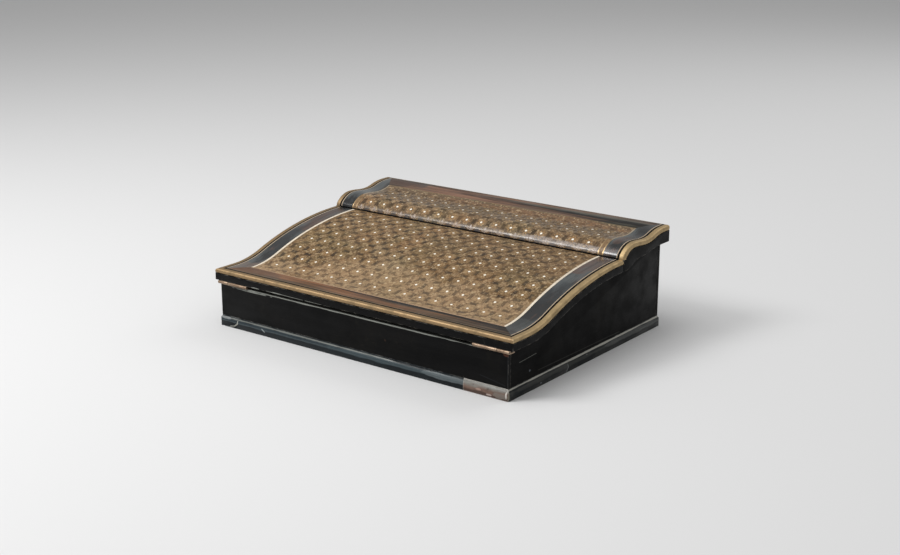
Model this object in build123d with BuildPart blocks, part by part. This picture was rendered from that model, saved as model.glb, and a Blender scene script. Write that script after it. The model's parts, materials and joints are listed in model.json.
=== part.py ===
"""Ebonised writing box: a case on a plinth, a hinged slope lid, a hinged rear lid and its fittings.

Millimetres. +X runs to the right, +Y to the back and +Z up. The origin lies on the table, under the
middle of the box.
"""
from build123d import *
import math
import os

# Lids, seen from above
lid_width = 400.0
seam_from_front = 201.5
seam_gap = 0.6

# Slope lid, seen from the side
slope_front_top = 64.4
slope_rise = 32.0
slope_flat_run = 26.7
slope_concave_radius = 114.6
slope_thickness = 12.4

# Rear lid, seen from the side
nose_run = 23.5
nose_rise = 14.3
nose_split_angle = 45.0
dip_run = 26.0
dip_drop = 1.7
back_run = 37.0
back_rise = 5.6
back_concave_radius = 50.0
back_flat_run = 9.7
nose_relief = 1.2
nose_seat = 2.5
under_step_run = 32.0
under_step_rise = 8.2
under_ramp_run = 40.0
under_ramp_rise = 4.4

# Case
side_overhang = 6.5
front_overhang = 1.8
back_overhang = 7.6
wall = 8.0
corner_lap = 4.0
lid_clearance = 0.3
partition_thickness = 8.0

# Plinth and bottom board
plinth_height = 12.2
plinth_projection = 2.5
plinth_width = 14.0
plinth_round_height = 5.7
plinth_round_radius = 8.2
plinth_flush_height = 1.2
plinth_foot_draw = 0.8
plinth_corner_round = 5.5
plinth_corner_margin = 0.3
board_thickness = 8.0
board_bearing = 5.0
left_splice_from_end = 25.5
repair_splice_from_end = 54.5
side_splice_from_front = 104.8
splice_slant = 5.0

# Inlay and edge mouldings
veneer = 0.9
moulding_width = 6.3
slope_moulding_height = 4.8
rear_moulding_height = 5.6
moulding_round = 2.2
moulding_under_round = 1.6
least_upward = 0.1
edge_band_width = 2.3
thin_line = 1.0
side_band_width = 19.4
front_band_width = 17.4
thick_line = 2.0
rear_band_width = 16.4
rear_back_band_width = 24.6
rear_edge_band = 1.2

# Linings
lining = 0.8
lining_margin = 1.2
paper = 0.5
paper_margin = 0.6

# Hinges
hinge_gap = 4.0
hinge_length = 43.0
knuckle_radius = 1.8
inner_knuckle_length = 28.5
knuckle_gap = 0.6
pin_radius = 0.9
pin_clearance = 0.05
leaf_thickness = 1.2
leaf_reach = 8.8
leaf_relief = 0.4
front_hinge_inset = 4.5
front_axis_behind_lid = 0.6
rear_hinge_inset = 45.5
rear_axis_behind_wall = 2.2
hinge_notch_margin = 0.3

# Wood screws
screw_shank_radius = 1.0
screw_head_radius = 1.85
screw_length = 8.0
screw_clearance = 0.05
screw_slot_width = 0.4
screw_slot_depth = 0.4
countersink_angle = 90.0
screw_inset = 7.0
screw_spacing = 20.0

# Rear compartment
divider_thickness = 4.0
divider_top = 78.0
inkwell_bay_width = 50.0
nib_box_depth = 20.0
tray_thickness = 14.0
tray_top = 74.0
tray_fit = 0.2
trough_radius = 17.0
trough_depth = 10.0
trough_end_margin = 6.0
cleat_size = 6.0

# Inkwells
inkwell_side = 42.0
inkwell_block_height = 30.0
inkwell_corner = 3.0
inkwell_shoulder = 5.0
inkwell_front_gap = 1.5
neck_radius = 13.0
neck_height = 10.0
ink_bore_radius = 10.0
ink_bore_depth = 34.0
collar_wall = 2.0
collar_fit = 0.05
cap_gap = 0.3
cap_thickness = 2.2
cap_dome = 5.0
cap_axis_behind_collar = 2.2
cap_axis_above_collar = 1.4
cap_knuckle_radius = 1.9
cap_knuckle_length = 6.0
cap_ear_length = 3.0
cap_ear_gap = 0.3
collar_lug_height = 3.8
cap_pin_radius = 0.8

# Longer than any piece, for cuts and layers that run right through
through = 1000.0

# Places worked out from the sizes
half_lid = lid_width / 2
rear_lid_depth = nose_run + dip_run + back_run + back_flat_run
lid_depth = seam_from_front + seam_gap / 2 + rear_lid_depth
hinge_proud = knuckle_radius - front_axis_behind_lid
lid_front = -(lid_depth - hinge_proud) / 2
lid_back = lid_front + lid_depth
seam = lid_front + seam_from_front
slope_end = seam - seam_gap / 2
nose_front = seam + seam_gap / 2
seam_top = slope_front_top + slope_rise
seam_bottom = seam_top - slope_thickness
slope_front_bottom = slope_front_top - slope_thickness
nose_foot = nose_front + nose_relief
rear_bottom = seam_bottom + under_step_rise + under_ramp_rise
under_back_run = lid_back - nose_foot - nose_seat - under_step_run - under_ramp_run

case_half = half_lid - side_overhang
inner_half = case_half - wall
case_front = lid_front + front_overhang
inner_front = case_front + wall
case_back = lid_back - back_overhang
inner_back = case_back - wall
partition_front = seam - partition_thickness / 2
partition_back = seam + partition_thickness / 2
front_wall_top = slope_front_bottom - hinge_gap
back_wall_top = rear_bottom - lid_clearance

front_axis = (lid_front + front_axis_behind_lid, front_wall_top + hinge_gap / 2)
rear_axis = (case_back + rear_axis_behind_wall, rear_bottom - hinge_gap / 2)

divider_inner = inner_half - inkwell_bay_width - divider_thickness
inkwell_x = inner_half - inkwell_bay_width / 2
rail_back = partition_back + nib_box_depth + divider_thickness
inkwell_y = rail_back + inkwell_front_gap + inkwell_side / 2
collar_base = plinth_height + inkwell_block_height
collar_top = collar_base + neck_height
collar_radius = neck_radius + collar_fit + collar_wall
cap_axis = (inkwell_y + collar_radius + cap_axis_behind_collar, collar_top + cap_axis_above_collar)

os.makedirs("parts", exist_ok=True)


def finish(part, name):
    """Labels a finished piece and writes it to its own file."""
    part.label = name
    export_step(part, f"parts/{name}.step")


def ogee(run, rise, first_radius=None):
    """An S-shaped step as two tangent arcs, each a radius and a turn in degrees (left is positive)."""
    turn = 2 * math.degrees(math.atan(abs(rise) / run))
    both_radii = run / math.sin(math.radians(turn))
    first = first_radius or both_radii / 2
    sign = math.copysign(1, rise)
    return [(first, sign * turn), (both_radii - first, -sign * turn)]


def straight(run):
    """A straight stretch of a side profile."""
    return [(run, 0)]


def nose_arcs(run, rise, split):
    """A rounded nose that starts upright and ends level: a tight arc, then a wide one."""
    cosine = math.cos(math.radians(split))
    sine = math.sin(math.radians(split))
    divisor = (1 - cosine) * (1 - sine) - cosine * sine
    tight = (run * (1 - sine) - rise * cosine) / divisor
    wide = (rise * (1 - cosine) - run * sine) / divisor
    return [(tight, -split), (wide, split - 90)]


slope_profile = straight(slope_flat_run) + ogee(
    slope_end - lid_front - slope_flat_run, slope_rise, slope_concave_radius
)
rear_profile = (
    nose_arcs(nose_run, nose_rise, nose_split_angle)
    + ogee(dip_run, -dip_drop)
    + ogee(back_run, back_rise, back_concave_radius)
    + straight(back_flat_run)
)
under_profile = (
    straight(nose_seat)
    + ogee(under_step_run, under_step_rise)
    + ogee(under_ramp_run, under_ramp_rise)
    + straight(under_back_run)
)


def draw_profile(start, heading, pieces, depth):
    """Draws a side profile, sunk below its face by a depth, and returns its two end points."""
    along = Vector(*heading)
    point = Vector(*start) + Vector(along.Y, -along.X) * depth
    first = point
    for size, turn in pieces:
        if turn == 0:
            edge = Line(point, point + along * size)
        else:
            radius = size + depth if turn > 0 else size - depth
            edge = JernArc(point, along, radius, turn)
        point = edge @ 1
        along = edge % 1
    return first, point


def draw_slope(depth):
    """Side profile of the slope lid at a depth below its upper face."""
    return draw_profile((lid_front, slope_front_top), (1, 0), slope_profile, depth)


def draw_rear(depth):
    """Side profile of the rear lid at a depth below its upper face, from the nose to the back."""
    return draw_profile((nose_front, seam_top), (0, 1), rear_profile, depth)


def draw_under(depth):
    """Side profile of the rear lid's underside, lowered by a depth."""
    return draw_profile((nose_foot, seam_bottom), (1, 0), under_profile, depth)


def layer(draw, upper_depth, lower_depth):
    """Side view of a layer between two depths of one profile."""
    with BuildSketch(Plane.YZ) as view:
        with BuildLine():
            upper = draw(upper_depth)
            lower = draw(lower_depth)
            Line(upper[0], lower[0])
            Line(upper[1], lower[1])
        make_face()
    return view.sketch


def rear_core(depth):
    """Side view of the rear lid's board, from a depth below its upper face to its underside."""
    with BuildSketch(Plane.YZ) as view:
        with BuildLine():
            upper = draw_rear(depth)
            lower = draw_under(0)
            Polyline(upper[0], (nose_front, seam_top), lower[0])
            Line(upper[1], lower[1])
        make_face()
    return view.sketch


def fill(x, y, z, mode=Mode.ADD):
    """Adds, or with another mode takes away, a plain block between two limits along each axis."""
    with Locations(((x[0] + x[1]) / 2, (y[0] + y[1]) / 2, (z[0] + z[1]) / 2)):
        Box(x[1] - x[0], y[1] - y[0], z[1] - z[0], mode=mode)


def outline_sketch(outlines):
    """Straight-sided outlines seen from above, as one sketch."""
    with BuildSketch(Plane.XY) as plan:
        for corners in outlines:
            with BuildLine():
                Polyline(*corners, close=True)
            make_face()
    return plan.sketch


def trimmed_layer(view, outlines):
    """A lid layer kept only inside some outlines seen from above."""
    plan = outline_sketch(outlines)
    with BuildPart() as piece:
        extrude(view, amount=half_lid, both=True)
        extrude(plan, amount=through, mode=Mode.INTERSECT)
    return piece.part


# Hinge leaves, pins and screws

leaf_screws = (screw_inset, screw_inset + screw_spacing)
leaf_screw_reach = (leaf_reach + knuckle_radius + leaf_relief) / 2
screw_head_depth = (screw_head_radius - screw_shank_radius) / math.tan(
    math.radians(countersink_angle / 2)
)


def hinge_leaf(axis, start, side, plate_low, knuckle, screws_up):
    """One leaf: a plate that starts at a place along X, a knuckle on part of it and two countersinks.

    axis is the pin seen from the side, side is the way the plate reaches along Y, plate_low is the
    plate's underside and knuckle holds the knuckle's first and last place along X.
    """
    reach = side * leaf_reach
    relief = side * (knuckle_radius + leaf_relief)
    plate_middle = plate_low + leaf_thickness / 2
    face_z = plate_low if screws_up else plate_low + leaf_thickness
    turned = 180 if screws_up else 0
    with BuildPart() as leaf:
        with BuildSketch(Plane.YZ.offset(knuckle[0])):
            with Locations((axis[0] + reach / 2, plate_middle)):
                Rectangle(abs(reach), leaf_thickness)
            with Locations(axis):
                Circle(knuckle_radius)
                Circle(pin_radius + pin_clearance, mode=Mode.SUBTRACT)
        extrude(amount=knuckle[1] - knuckle[0])
        with BuildSketch(Plane.YZ.offset(start)):
            with Locations((axis[0] + (reach + relief) / 2, plate_middle)):
                Rectangle(abs(reach - relief), leaf_thickness)
        extrude(amount=hinge_length)
        for offset in leaf_screws:
            head = (start + offset, axis[0] + side * leaf_screw_reach, face_z)
            with Locations(Location(head, (turned, 0, 0))):
                CounterSinkHole(
                    screw_shank_radius + screw_clearance,
                    screw_head_radius + screw_clearance,
                    counter_sink_angle=countersink_angle,
                )
    return leaf.part


def screw_places(axis, start, side):
    """Places of one leaf pair's screws seen from above, on the right and mirrored to the left."""
    across = axis[0] + side * leaf_screw_reach
    right = [(start + offset, across) for offset in leaf_screws]
    return right + [(-x, y) for x, y in right]


with BuildPart() as wood_screw:
    with BuildSketch(Plane.XZ):
        with BuildLine():
            Polyline(
                (0, 0),
                (screw_head_radius, 0),
                (screw_shank_radius, -screw_head_depth),
                (screw_shank_radius, screw_shank_radius - screw_length),
                (0, -screw_length),
                close=True,
            )
        make_face()
    revolve(axis=Axis.Z)
    fill(
        (-screw_slot_width / 2, screw_slot_width / 2),
        (-screw_head_radius, screw_head_radius),
        (-screw_slot_depth, 0),
        mode=Mode.SUBTRACT,
    )


def screw_group(places, head_z, up):
    """The same screw at each place, driven down, or up where up is true."""
    with BuildPart() as group:
        for x, y in places:
            with Locations(Location((x, y, head_z), (180 if up else 0, 0, 0))):
                add(wood_screw.part)
    return group.part


def pilot_holes(places, face_z, up):
    """Takes out the screws' pilot holes behind the face of the wood that a leaf lies on."""
    middle = face_z + (screw_length / 2 if up else -screw_length / 2)
    with Locations(*[(x, y, middle) for x, y in places]):
        Cylinder(screw_shank_radius + screw_clearance, screw_length, mode=Mode.SUBTRACT)


front_hinge_end = half_lid - front_hinge_inset
front_hinge_start = front_hinge_end - hinge_length
front_leaf_low = front_wall_top
front_leaf_high = slope_front_bottom - leaf_thickness
front_split = front_hinge_start + inner_knuckle_length
front_case_knuckle = (front_hinge_start, front_split)
front_lid_knuckle = (front_split + knuckle_gap, front_hinge_end)
front_screws = screw_places(front_axis, front_hinge_start, 1)

rear_hinge_end = case_half - rear_hinge_inset
rear_hinge_start = rear_hinge_end - hinge_length
rear_leaf_low = rear_bottom - hinge_gap
rear_leaf_high = rear_bottom - leaf_thickness
rear_split = rear_hinge_start + inner_knuckle_length
rear_case_knuckle = (rear_hinge_start, rear_split)
rear_lid_knuckle = (rear_split + knuckle_gap, rear_hinge_end)
rear_screws = screw_places(rear_axis, rear_hinge_start, -1)

hinge_leaves = {
    "front_hinge_case_leaf": hinge_leaf(
        front_axis, front_hinge_start, 1, front_leaf_low, front_case_knuckle, False
    ),
    "front_hinge_lid_leaf": hinge_leaf(
        front_axis, front_hinge_start, 1, front_leaf_high, front_lid_knuckle, True
    ),
    "rear_hinge_case_leaf": hinge_leaf(
        rear_axis, rear_hinge_start, -1, rear_leaf_low, rear_case_knuckle, False
    ),
    "rear_hinge_lid_leaf": hinge_leaf(
        rear_axis, rear_hinge_start, -1, rear_leaf_high, rear_lid_knuckle, True
    ),
}
for name, leaf in hinge_leaves.items():
    finish(leaf, f"right_{name}")
    finish(leaf.mirror(Plane.YZ), f"left_{name}")


def hinge_pins(axis, start):
    """A pin along each hinge, on the right and mirrored to the left."""
    with BuildPart() as pins:
        for first in (start, -start - hinge_length):
            with BuildSketch(Plane.YZ.offset(first)):
                with Locations(axis):
                    Circle(pin_radius)
            extrude(amount=hinge_length)
    return pins.part


finish(hinge_pins(front_axis, front_hinge_start), "front_hinge_pins")
finish(hinge_pins(rear_axis, rear_hinge_start), "rear_hinge_pins")
finish(screw_group(front_screws, front_leaf_low + leaf_thickness, False), "front_hinge_case_screws")
finish(screw_group(front_screws, front_leaf_high, True), "front_hinge_lid_screws")
finish(screw_group(rear_screws, rear_leaf_low + leaf_thickness, False), "rear_hinge_case_screws")
finish(screw_group(rear_screws, rear_leaf_high, True), "rear_hinge_lid_screws")

# Bottom board and its paper lining

board_inset = plinth_width - plinth_projection - board_bearing

with BuildPart() as bottom_board:
    fill(
        (board_inset - case_half, case_half - board_inset),
        (case_front + board_inset, case_back - board_inset),
        (plinth_height - board_thickness, plinth_height),
    )
finish(bottom_board.part, "bottom_board")

with BuildPart() as well_lining:
    fill(
        (paper_margin - inner_half, inner_half - paper_margin),
        (inner_front + paper_margin, partition_front - paper_margin),
        (plinth_height, plinth_height + paper),
    )
finish(well_lining.part, "paper_well_lining")

# Plinth strips

plinth_half = case_half + plinth_projection
plinth_front = case_front - plinth_projection
plinth_back = case_back + plinth_projection
plinth_inner_half = plinth_half - plinth_width
plinth_inner_front = plinth_front + plinth_width
plinth_inner_back = plinth_back - plinth_width
side_splice = lid_front + side_splice_from_front
front_splice_x = left_splice_from_end - plinth_half
repair_splice_x = plinth_half - repair_splice_from_end

with BuildSketch(Plane.XY) as plinth_section:
    with BuildLine():
        inner_edge = plinth_projection - plinth_width
        ledge = plinth_height - board_thickness
        round_top = plinth_height - plinth_flush_height
        crest = (plinth_projection, round_top - plinth_round_height)
        Line((plinth_projection - plinth_foot_draw, 0), crest)
        RadiusArc(crest, (0, round_top), -plinth_round_radius)
        Polyline(
            (0, round_top),
            (0, plinth_height),
            (inner_edge + board_bearing, plinth_height),
            (inner_edge + board_bearing, ledge),
            (inner_edge, ledge),
            (inner_edge, 0),
            (plinth_projection - plinth_foot_draw, 0),
        )
    make_face()


with BuildSketch(Plane.XY) as plinth_footprint:
    with Locations((0, (plinth_front + plinth_back) / 2)):
        RectangleRounded(
            2 * (plinth_half + plinth_corner_margin),
            plinth_back - plinth_front + 2 * plinth_corner_margin,
            plinth_corner_round,
        )


def plinth_strip(origin, outward, outline):
    """One strip along a side of the case, kept inside an outline seen from above, with rounded corners."""
    way = Vector(*outward)
    side_plane = Plane(origin=origin, x_dir=way, z_dir=way.cross(Vector(0, 0, 1)))
    plan = outline_sketch([outline])
    with BuildPart() as strip:
        with BuildSketch(side_plane):
            add(plinth_section.sketch)
        extrude(amount=through, both=True)
        extrude(plan, amount=through, mode=Mode.INTERSECT)
        extrude(plinth_footprint.sketch, amount=through, mode=Mode.INTERSECT)
    return strip.part


front_left = [(-plinth_half, plinth_front), (-plinth_inner_half, plinth_inner_front)]
front_right = [(plinth_half, plinth_front), (plinth_inner_half, plinth_inner_front)]
back_left = [(-plinth_half, plinth_back), (-plinth_inner_half, plinth_inner_back)]
back_right = [(plinth_half, plinth_back), (plinth_inner_half, plinth_inner_back)]
end_cut = [(front_splice_x, plinth_front), (front_splice_x + splice_slant, plinth_inner_front)]
repair_cut = [(repair_splice_x, plinth_front), (repair_splice_x - splice_slant, plinth_inner_front)]
side_cut = [(plinth_half, side_splice), (plinth_inner_half, side_splice + splice_slant)]

plinth_runs = {
    "plinth_front_left_end": ((0, case_front), (0, -1), front_left, end_cut),
    "plinth_front": ((0, case_front), (0, -1), end_cut, repair_cut),
    "plinth_front_repair": ((0, case_front), (0, -1), repair_cut, front_right),
    "plinth_left": ((-case_half, 0), (-1, 0), front_left, back_left),
    "plinth_right_front": ((case_half, 0), (1, 0), front_right, side_cut),
    "plinth_right_rear": ((case_half, 0), (1, 0), side_cut, back_right),
    "plinth_back": ((0, case_back), (0, 1), back_left, back_right),
}
for name, (origin, outward, first_cut, last_cut) in plinth_runs.items():
    finish(plinth_strip(origin, outward, first_cut + last_cut[::-1]), name)

# Case walls

front_notch_back = front_axis[0] + leaf_reach + hinge_notch_margin
notch_start = rear_hinge_start - hinge_notch_margin
notch_end = rear_hinge_end + hinge_notch_margin

with BuildPart() as right_wall:
    with BuildSketch(Plane.YZ.offset(inner_half)):
        with BuildLine():
            slope_ends = draw_slope(slope_thickness + lid_clearance)
            under_ends = draw_under(lid_clearance)
            Line(slope_ends[1], under_ends[0])
            Polyline(slope_ends[0], (lid_front, plinth_height), (lid_back, plinth_height), under_ends[1])
        make_face()
    extrude(amount=wall)
    wall_x = (inner_half, case_half)
    fill(
        wall_x,
        (case_front + corner_lap, case_back - corner_lap),
        (plinth_height, rear_bottom),
        mode=Mode.INTERSECT,
    )
    fill(wall_x, (case_front, front_notch_back), (front_wall_top, slope_front_top), mode=Mode.SUBTRACT)
finish(right_wall.part, "right_wall")
finish(right_wall.part.mirror(Plane.YZ), "left_wall")

with BuildPart() as front_wall:
    fill((-case_half, case_half), (case_front, inner_front), (plinth_height, front_wall_top))
    for side in (-1, 1):
        rebate = sorted((side * inner_half, side * case_half))
        fill(rebate, (case_front + corner_lap, inner_front), (0, through), mode=Mode.SUBTRACT)
    pilot_holes(front_screws, front_wall_top, False)
finish(front_wall.part, "front_wall")

with BuildPart() as back_wall:
    fill((-case_half, case_half), (inner_back, case_back), (plinth_height, back_wall_top))
    for side in (-1, 1):
        rebate = sorted((side * inner_half, side * case_half))
        fill(rebate, (inner_back, case_back - corner_lap), (0, through), mode=Mode.SUBTRACT)
        notch = sorted((side * notch_start, side * notch_end))
        fill(notch, (inner_back, case_back), (rear_leaf_low, rear_bottom), mode=Mode.SUBTRACT)
    pilot_holes(rear_screws, rear_leaf_low, False)
finish(back_wall.part, "back_wall")

with BuildPart() as partition:
    fill(
        (-inner_half, inner_half),
        (partition_front, partition_back),
        (plinth_height, seam_bottom - lid_clearance),
    )
finish(partition.part, "partition")

# Rear compartment

with BuildPart() as right_divider:
    fill(
        (divider_inner, divider_inner + divider_thickness),
        (partition_back, inner_back),
        (plinth_height, divider_top),
    )
finish(right_divider.part, "right_divider")
finish(right_divider.part.mirror(Plane.YZ), "left_divider")

with BuildPart() as nib_box_rails:
    for side in (-1, 1):
        bay = sorted((side * (divider_inner + divider_thickness), side * inner_half))
        fill(bay, (rail_back - divider_thickness, rail_back), (plinth_height, divider_top))
finish(nib_box_rails.part, "nib_box_rails")

cleat_top = tray_top - tray_thickness

with BuildPart() as tray_cleats:
    for low, high in ((partition_back, partition_back + cleat_size), (inner_back - cleat_size, inner_back)):
        fill((-divider_inner, divider_inner), (low, high), (cleat_top - cleat_size, cleat_top))
finish(tray_cleats.part, "pen_tray_cleats")

tray_length = 2 * (divider_inner - tray_fit)
tray_depth = inner_back - partition_back - 2 * tray_fit
trough_middles = (partition_back + tray_fit + tray_depth / 4, inner_back - tray_fit - tray_depth / 4)
trough_axis_z = tray_top - trough_depth + trough_radius

with BuildPart() as pen_tray:
    fill(
        (-tray_length / 2, tray_length / 2),
        (partition_back + tray_fit, inner_back - tray_fit),
        (cleat_top, tray_top),
    )
    with Locations(*[Location((0, y, trough_axis_z), (0, 90, 0)) for y in trough_middles]):
        Cylinder(trough_radius, tray_length - 2 * trough_end_margin, mode=Mode.SUBTRACT)
finish(pen_tray.part, "pen_tray")

# Inkwells

with BuildPart() as right_inkwell:
    with Locations((inkwell_x, inkwell_y, plinth_height)):
        Box(
            inkwell_side,
            inkwell_side,
            inkwell_block_height,
            align=(Align.CENTER, Align.CENTER, Align.MIN),
        )
    chamfer(right_inkwell.edges().filter_by(Axis.Z), inkwell_corner)
    chamfer(right_inkwell.faces().sort_by(Axis.Z)[-1].edges(), inkwell_shoulder)
    with Locations((inkwell_x, inkwell_y, collar_base)):
        Cylinder(neck_radius, neck_height, align=(Align.CENTER, Align.CENTER, Align.MIN))
    with Locations((inkwell_x, inkwell_y, collar_top)):
        Hole(ink_bore_radius, ink_bore_depth)
finish(right_inkwell.part, "right_inkwell_glass")
finish(right_inkwell.part.mirror(Plane.YZ), "left_inkwell_glass")

knuckle_half = cap_knuckle_length / 2
ear_start = knuckle_half + cap_ear_gap
ear_end = ear_start + cap_ear_length
cap_base = collar_top + cap_gap
cap_top = cap_base + cap_thickness
dome_radius = (collar_radius**2 + cap_dome**2) / (2 * cap_dome)


def pin_lug(first, last, foot):
    """Adds a lug round the cap's pin, with a foot that joins it to the ring or the cap in front."""
    with BuildSketch(Plane.YZ.offset(first)) as lug:
        with Locations(cap_axis):
            Circle(cap_knuckle_radius)
        with Locations(((foot[0] + cap_axis[0]) / 2, (foot[1] + foot[2]) / 2)):
            Rectangle(cap_axis[0] - foot[0], foot[2] - foot[1])
    extrude(lug.sketch, amount=last - first)


def pin_bore():
    """Takes the pin's bore out of a cap or a collar."""
    with Locations(Location((inkwell_x, cap_axis[0], cap_axis[1]), (0, 90, 0))):
        Cylinder(cap_pin_radius + pin_clearance, 2 * ear_end, mode=Mode.SUBTRACT)


collar_foot = (inkwell_y + neck_radius + collar_wall / 2, collar_top - collar_lug_height, collar_top)
cap_foot = (inkwell_y + neck_radius, cap_base, cap_top)

with BuildPart() as right_collar:
    with BuildSketch(Plane.XY.offset(collar_base)):
        with Locations((inkwell_x, inkwell_y)):
            Circle(collar_radius)
            Circle(neck_radius + collar_fit, mode=Mode.SUBTRACT)
    extrude(amount=neck_height)
    pin_lug(inkwell_x - knuckle_half, inkwell_x + knuckle_half, collar_foot)
    pin_bore()
finish(right_collar.part, "right_inkwell_collar")
finish(right_collar.part.mirror(Plane.YZ), "left_inkwell_collar")

with BuildPart() as right_cap:
    cap_plane = Plane(origin=(inkwell_x, inkwell_y, 0), x_dir=(1, 0, 0), z_dir=(0, -1, 0))
    with BuildSketch(cap_plane):
        with BuildLine():
            crown = (0, cap_top + cap_dome)
            rim = (collar_radius, cap_top)
            Polyline(crown, (0, cap_base), (collar_radius, cap_base), rim)
            RadiusArc(rim, crown, -dome_radius)
        make_face()
    revolve(axis=Axis((inkwell_x, inkwell_y, 0), (0, 0, 1)))
    pin_lug(inkwell_x - ear_end, inkwell_x - ear_start, cap_foot)
    pin_lug(inkwell_x + ear_start, inkwell_x + ear_end, cap_foot)
    pin_bore()
finish(right_cap.part, "right_inkwell_cap")
finish(right_cap.part.mirror(Plane.YZ), "left_inkwell_cap")

with BuildPart() as cap_pins:
    for middle in (-inkwell_x, inkwell_x):
        with Locations(Location((middle, cap_axis[0], cap_axis[1]), (0, 90, 0))):
            Cylinder(cap_pin_radius, 2 * ear_end)
finish(cap_pins.part, "inkwell_cap_pins")

# Inlay frames of both lids, each held as its half width and the place of its cross member

moulding_edge = (half_lid - moulding_width, lid_front + moulding_width)
slope_band_edge = (moulding_edge[0] - edge_band_width, moulding_edge[1] + edge_band_width)
slope_line_edge = (slope_band_edge[0] - thin_line, slope_band_edge[1] + thin_line)
slope_border_edge = (slope_line_edge[0] - side_band_width, slope_line_edge[1] + front_band_width)
slope_field_edge = (slope_border_edge[0] - thick_line, slope_border_edge[1] + thick_line)

rear_outer_edge = (half_lid - moulding_width, lid_back)
rear_band_edge = (rear_outer_edge[0] - edge_band_width, rear_outer_edge[1] - rear_edge_band)
rear_line_edge = (rear_band_edge[0] - thin_line, rear_band_edge[1] - thin_line)
rear_border_edge = (rear_line_edge[0] - rear_band_width, rear_line_edge[1] - rear_back_band_width)
rear_field_edge = (rear_border_edge[0] - thick_line, rear_border_edge[1] - thick_line)


def frame_sides(outer, inner, end):
    """Left, right and cross outlines of a mitred frame, open at the end where the lids meet."""
    left = [(-outer[0], outer[1]), (-inner[0], inner[1]), (-inner[0], end), (-outer[0], end)]
    right = [(-x, y) for x, y in left]
    cross = [(-outer[0], outer[1]), (outer[0], outer[1]), (inner[0], inner[1]), (-inner[0], inner[1])]
    return left, right, cross


def inlay(prefix, face_sheet, edges, end, cross_name):
    """Writes one lid's field, borders and stringing, all cut from its sheet of veneer.

    edges runs from the moulding inwards: edge band, thin line, border band, thick line and field.
    """
    band = frame_sides(edges[0], edges[1], end)
    thin = frame_sides(edges[1], edges[2], end)
    border = frame_sides(edges[2], edges[3], end)
    thick = frame_sides(edges[3], edges[4], end)
    for number, side in enumerate(("left", "right", cross_name)):
        finish(trimmed_layer(face_sheet, [band[number], border[number]]), f"{prefix}_{side}_border")
    finish(trimmed_layer(face_sheet, [*thin, *thick]), f"{prefix}_stringing")
    half, cross = edges[4]
    field = [(-half, cross), (half, cross), (half, end), (-half, end)]
    finish(trimmed_layer(face_sheet, [field]), f"{prefix}_field")


# Slope lid

slope_sheet = layer(draw_slope, 0, veneer)
slope_edges = (moulding_edge, slope_band_edge, slope_line_edge, slope_border_edge, slope_field_edge)
inlay("slope_lid", slope_sheet, slope_edges, slope_end, "front")

slope_core = layer(draw_slope, veneer, slope_moulding_height)
slope_base = layer(draw_slope, slope_moulding_height, slope_thickness)

with BuildPart() as slope_lid_board:
    extrude(slope_core, amount=moulding_edge[0], both=True)
    fill((-half_lid, half_lid), (lid_front, moulding_edge[1]), (0, slope_front_top), mode=Mode.SUBTRACT)
    extrude(slope_base, amount=half_lid, both=True)
    pilot_holes(front_screws, slope_front_bottom, True)
finish(slope_lid_board.part, "slope_lid_board")

with BuildPart() as slope_lid_lining:
    extrude(layer(draw_slope, slope_thickness, slope_thickness + lining), amount=half_lid, both=True)
    fill(
        (lining_margin - inner_half, inner_half - lining_margin),
        (inner_front + lining_margin, partition_front - lining_margin),
        (0, through),
        mode=Mode.INTERSECT,
    )
finish(slope_lid_lining.part, "slope_lid_lining")


def side_moulding(view, outline):
    """A rounded edge moulding along the right side of a lid, kept inside an outline seen from above."""
    plan = outline_sketch([outline])
    with BuildPart() as bar:
        extrude(view.moved(Location((moulding_edge[0], 0, 0))), amount=moulding_width)
        for facing, radius in ((1, moulding_round), (-1, moulding_under_round)):
            faces = bar.faces().filter_by(lambda face: facing * face.normal_at().Z > least_upward)
            outer = faces.edges().filter_by(lambda edge: edge.center().X > half_lid - moulding_round)
            fillet(outer.filter_by(lambda edge: edge.bounding_box().size.X < moulding_round), radius)
        extrude(plan, amount=through, mode=Mode.INTERSECT)
    return bar.part


moulding_corner = (half_lid, lid_front)
slope_left, slope_right, slope_cross = frame_sides(moulding_corner, moulding_edge, slope_end)
slope_moulding = side_moulding(layer(draw_slope, 0, slope_moulding_height), slope_right)
finish(slope_moulding, "slope_lid_right_moulding")
finish(slope_moulding.mirror(Plane.YZ), "slope_lid_left_moulding")

front_moulding_plan = outline_sketch([slope_cross])

with BuildPart() as front_moulding:
    fill(
        (-half_lid, half_lid),
        (lid_front, moulding_edge[1]),
        (slope_front_top - slope_moulding_height, slope_front_top),
    )
    for place, radius in ((-1, moulding_round), (0, moulding_under_round)):
        front_edges = front_moulding.faces().sort_by(Axis.Y)[0].edges().filter_by(Axis.X)
        fillet(front_edges.sort_by(Axis.Z)[place], radius)
    extrude(front_moulding_plan, amount=through, mode=Mode.INTERSECT)
finish(front_moulding.part, "slope_lid_front_moulding")

# Rear lid

rear_sheet = layer(draw_rear, 0, veneer)
rear_edges = (rear_outer_edge, rear_band_edge, rear_line_edge, rear_border_edge, rear_field_edge)
inlay("rear_lid", rear_sheet, rear_edges, nose_front, "back")

rear_middle = rear_core(veneer)
rear_sides = rear_core(rear_moulding_height)

with BuildPart() as rear_lid_board:
    extrude(rear_middle, amount=moulding_edge[0], both=True)
    extrude(rear_sides, amount=half_lid, both=True)
    pilot_holes(rear_screws, rear_bottom, True)
finish(rear_lid_board.part, "rear_lid_board")

with BuildPart() as rear_lid_lining:
    extrude(layer(draw_under, 0, lining), amount=half_lid, both=True)
    fill(
        (lining_margin - inner_half, inner_half - lining_margin),
        (partition_back + lining_margin, inner_back - lining_margin),
        (0, through),
        mode=Mode.INTERSECT,
    )
finish(rear_lid_lining.part, "rear_lid_lining")

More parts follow.
